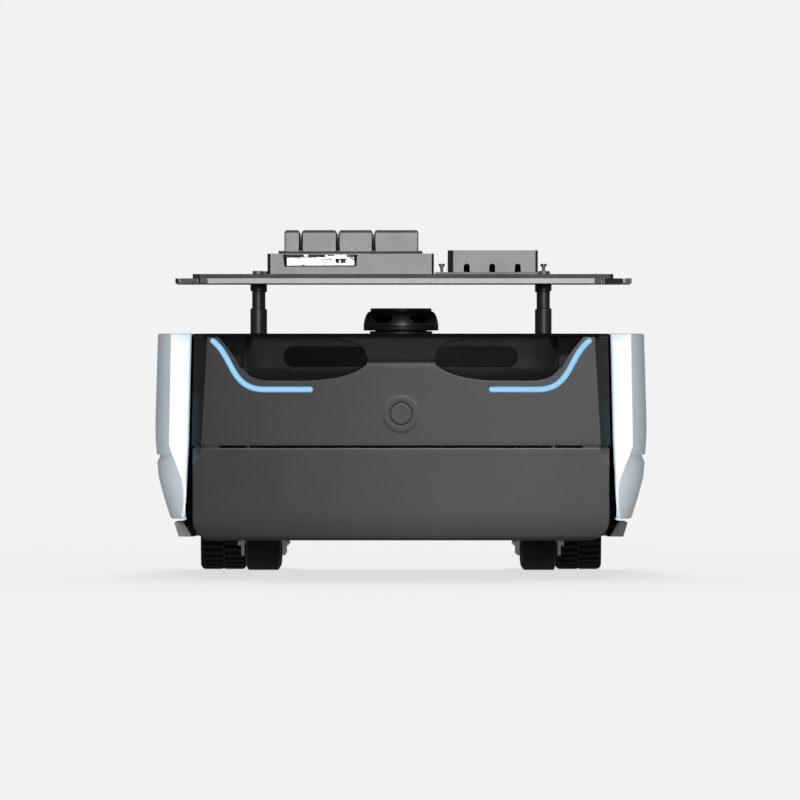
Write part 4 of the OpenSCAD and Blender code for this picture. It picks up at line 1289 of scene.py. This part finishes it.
# Width of the rounding on the pieces that keep the CAD's shape
ROUNDS = {
    "chassis_tray": 0.5, "front_caster_bracket": 0.5, "rear_caster_bracket": 0.5, "inner_frame": 1.0,
    "deck_plate": 0.6, "deck_screws": 0.3, "rear_cover": 0.6, "bumper_guides": 0.8, "lidar_base": 0.6,
    "support_posts": 0.5, "post_screws": 0.35, "interface_base": 0.4, "interface_screws": 0.3,
    "battery_pack": 2.0, "control_board": 0.3, "motor_driver": 0.5, "rear_port_panel": 0.5,
    "charge_contacts": 0.6, "pivot_brackets": 0.4, "left_swing_arm": 0.6, "right_swing_arm": 0.6,
    "left_axle": 0.4, "right_axle": 0.4, "left_hub": 0.6, "right_hub": 0.6, "caster_plates": 0.4,
    "left_depth_camera": 0.6, "right_depth_camera": 0.6,
}


def build_robot():
    for node, mesh_object in frame["nodes"].items():
        mesh_object.data.materials.clear()
        mesh_object.data.materials.append(MATERIALS[slot_of(node)])
        shade(mesh_object.data, 30)
    for node, width in ROUNDS.items():
        refine(node, width)
    build_computer()
    build_plates()
    for place in ("front_left", "front_right", "rear_left", "rear_right"):
        refine(place + "_caster_fork", 0.5)
        refine(place + "_caster_wheel", 0.5)
    build_front_cover()
    build_seam_tabs()
    build_bumper()
    build_button()
    build_scanner()
    for side, word in SIDES:
        build_scanner_lens(side, "scanner_lens_" + word)
    build_sockets()
    build_interface_box()
    for side, word in SIDES:
        build_side_cover(side, word + "_side_skin", word + "_side_cover")
        build_side_panel(side, word, word + "_sill")
        build_light_strip(side, word + "_glow", word + "_light_strip")
        build_window(side, word + "_window_pane", word + "_camera_window")
        build_tyre(side, word + "_tread_tyre", word + "_tyre", word + "_wheel")
        build_spring(side, word + "_coil", word + "_spring")


build_robot()

# ---------------------------------------------------------------- stage

# Brightness of the surroundings by the height of the direction, 0 at the horizon and 1 overhead
SKY = ((0.0, 0.22), (0.3, 0.22), (0.65, 0.32), (0.9, 0.42))
BACKGROUND = 0.887
# Shares of the floor's light that come from the surroundings and from a low lamp behind the robot
SKY_SHARE = 0.05
LOW_SUN_SHARE = 0.2
LOW_SUN_RISE = math.radians(8)
LOW_SUN_SIZE = math.radians(6.7)
# The floor is lit up to NEAR of FADE_REACH from the robot, and only glows beyond FAR of it
FADE_REACH = 10.0
NEAR = 0.35
FAR = 0.6
# Which pieces each light falls on, by material slot; other_pieces takes all the others
LIT_SLOTS = {
    "front_pieces": ("charcoal_plastic", "button_plastic", "dark_window"),
    "white_pieces": ("white_gloss",),
    "payload_pieces": ("case_grey", "plate_light", "plate_dark", "base_grey", "bright_steel",
                       "post_grey", "black_plastic"),
    "socket_pieces": ("socket_metal",),
    "other_pieces": (),
}
# The soft lights: the pieces they fall on, their place in metres and their power in watts
SOFT_LIGHTS = (
    ("front_pieces", (0.8, -2.9, 0.5), 9), ("white_pieces", (0.0, -3.3, -0.3), 64),
    ("white_pieces", (1.9, -2.7, -0.25), 19), ("white_pieces", (-1.9, -2.7, -0.25), 19),
    ("payload_pieces", (0.2, -3.0, 0.9), 76), ("socket_pieces", (0.2, -3.0, 0.9), 130),
    ("other_pieces", (-0.9, -2.9, 0.9), 17),
)
SOFT_SIZE = 0.6
# The key light on the front: where it points, where it stands from there, and the radius it lights
KEY_TARGET = Vector((0.12, FACE_Y * MM, 0.13))
KEY_STAND = Vector((0.2, -1.39, 2.65))
KEY_REACH = 0.43
KEY_WATTS = 850
CAMERA_BACK = 30.0
CAMERA_X = -0.001
CAMERA_Z = 0.1705
FLOOR_REACH = 48.0
BACKDROP_HIGH = 24.0
FRAME_WIDTH = 0.8
SENSOR = 36.0


def mean_sky():
    """Light that a level floor gets from the surroundings, as a share of white surroundings."""
    steps = 200
    heights = [(i + 0.5) / steps for i in range(steps)]
    return sum(2 * interpolate(SKY, h) * h / steps for h in heights)


FLOOR_TONE = BACKGROUND * SKY_SHARE / mean_sky()


def build_floor():
    """A pale floor that curves up into a backdrop, evenly lit away from the robot."""
    bend = arc((FLOOR_REACH - 3, 3), 3, -90, 0, 12)
    profile = [(-FLOOR_REACH, 0.0)] + bend + [(FLOOR_REACH, BACKDROP_HIGH)]
    verts = [(x, y, z) for y, z in profile for x in (-FLOOR_REACH, FLOOR_REACH)]
    mesh = bpy.data.meshes.new("studio_floor")
    mesh.from_pydata(verts, [], grid_faces(len(profile), 2))
    shade(mesh, 60)
    floor = new_object("studio_floor", mesh)
    paper = Finish("studio_paper", (0.86, 0.86, 0.86), 0.9, specular=0.0)
    paper.uneven(0.03, 3)
    length = paper.node("ShaderNodeVectorMath", operation="LENGTH")
    paper.link(paper.place, length.inputs[0])
    scaled = paper.node("ShaderNodeMath", operation="MULTIPLY")
    scaled.inputs[1].default_value = 1 / FADE_REACH
    paper.link(length.outputs["Value"], scaled.inputs[0])
    away = scaled.outputs["Value"]
    glow = BACKGROUND * (1 - SKY_SHARE - LOW_SUN_SHARE)
    paper.link(paper.ramp(away, [(NEAR, FLOOR_TONE), (FAR, 0.0)]), paper.shader.inputs["Base Color"])
    paper.link(paper.ramp(away, [(NEAR, glow), (FAR, BACKGROUND)]), paper.shader.inputs["Emission Color"])
    paper.shader.inputs["Emission Strength"].default_value = 1.0
    mesh.materials.append(paper.material)
    floor.visible_diffuse = False
    floor.visible_glossy = False
    return floor


def build_world():
    """Soft surroundings: brightest overhead, dim at the sides and behind."""
    world = bpy.data.worlds.new("studio")
    world.use_nodes = True
    tree = world.node_tree
    place = tree.nodes.new("ShaderNodeTexCoord")
    split = tree.nodes.new("ShaderNodeSeparateXYZ")
    tree.links.new(place.outputs["Generated"], split.inputs["Vector"])
    ramp = tree.nodes.new("ShaderNodeValToRGB")
    set_stops(ramp, SKY)
    tree.links.new(split.outputs["Z"], ramp.inputs["Fac"])
    tree.links.new(ramp.outputs["Color"], tree.nodes["Background"].inputs["Color"])
    tree.nodes["Background"].inputs["Strength"].default_value = 1.0
    bpy.context.scene.world = world


def group_pieces(floor):
    """Collections of the pieces that each light falls on, of the whole robot, and of the floor."""
    groups = {name: bpy.data.collections.new(name) for name in (*LIT_SLOTS, "robot", "ground")}
    groups["ground"].objects.link(floor)
    for piece in bpy.context.scene.objects:
        if piece.type == "MESH" and piece != floor:
            slot = piece.get("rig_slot") or slot_of(piece.name)
            chosen = [name for name, slots in LIT_SLOTS.items() if slot in slots] or ["other_pieces"]
            groups[chosen[0]].objects.link(piece)
            groups["robot"].objects.link(piece)
    return groups


def add_light(name, kind, place, target, energy, receivers, blockers):
    """A light that falls only on the receivers, with shadows only from the blockers."""
    lamp = bpy.data.lights.new(name, kind)
    lamp.energy = energy
    made = new_object(name, lamp)
    made.location = place
    made.rotation_euler = (Vector(target) - Vector(place)).to_track_quat("-Z", "Y").to_euler()
    made.light_linking.receiver_collection = receivers
    made.light_linking.blocker_collection = blockers
    return lamp


def build_lights(floor):
    groups = group_pieces(floor)
    robot = groups["robot"]
    key_place = KEY_TARGET + KEY_STAND
    key = add_light("front_key", "SPOT", key_place, KEY_TARGET, KEY_WATTS, groups["front_pieces"], robot)
    key.spot_size = 2 * math.atan(KEY_REACH / KEY_STAND.length)
    key.spot_blend = 1.0
    key.shadow_soft_size = 0.25
    for i, (name, place, watts) in enumerate(SOFT_LIGHTS):
        lamp = add_light(f"soft_{i + 1}", "AREA", place, (0, FACE_Y * MM, 0.2), watts, groups[name], robot)
        lamp.size = SOFT_SIZE
    ahead = (0, -math.cos(LOW_SUN_RISE), -math.sin(LOW_SUN_RISE))
    strength = BACKGROUND * LOW_SUN_SHARE * math.pi / (FLOOR_TONE * math.sin(LOW_SUN_RISE))
    sun = add_light("low_sun", "SUN", (0, 0, 0), ahead, strength, groups["ground"], robot)
    sun.angle = LOW_SUN_SIZE


def build_camera():
    """A long lens, level and square to the front, as the photograph is taken."""
    lens = bpy.data.cameras.new("camera")
    lens.sensor_width = SENSOR
    lens.lens = SENSOR * CAMERA_BACK / FRAME_WIDTH
    lens.clip_end = 100
    camera = new_object("camera", lens)
    camera.location = (CAMERA_X, FACE_Y * MM - CAMERA_BACK, CAMERA_Z)
    camera.rotation_euler = (math.radians(90), 0, 0)
    bpy.context.scene.camera = camera


build_lights(build_floor())
build_world()
build_camera()
bpy.context.scene.view_settings.view_transform = "Standard"
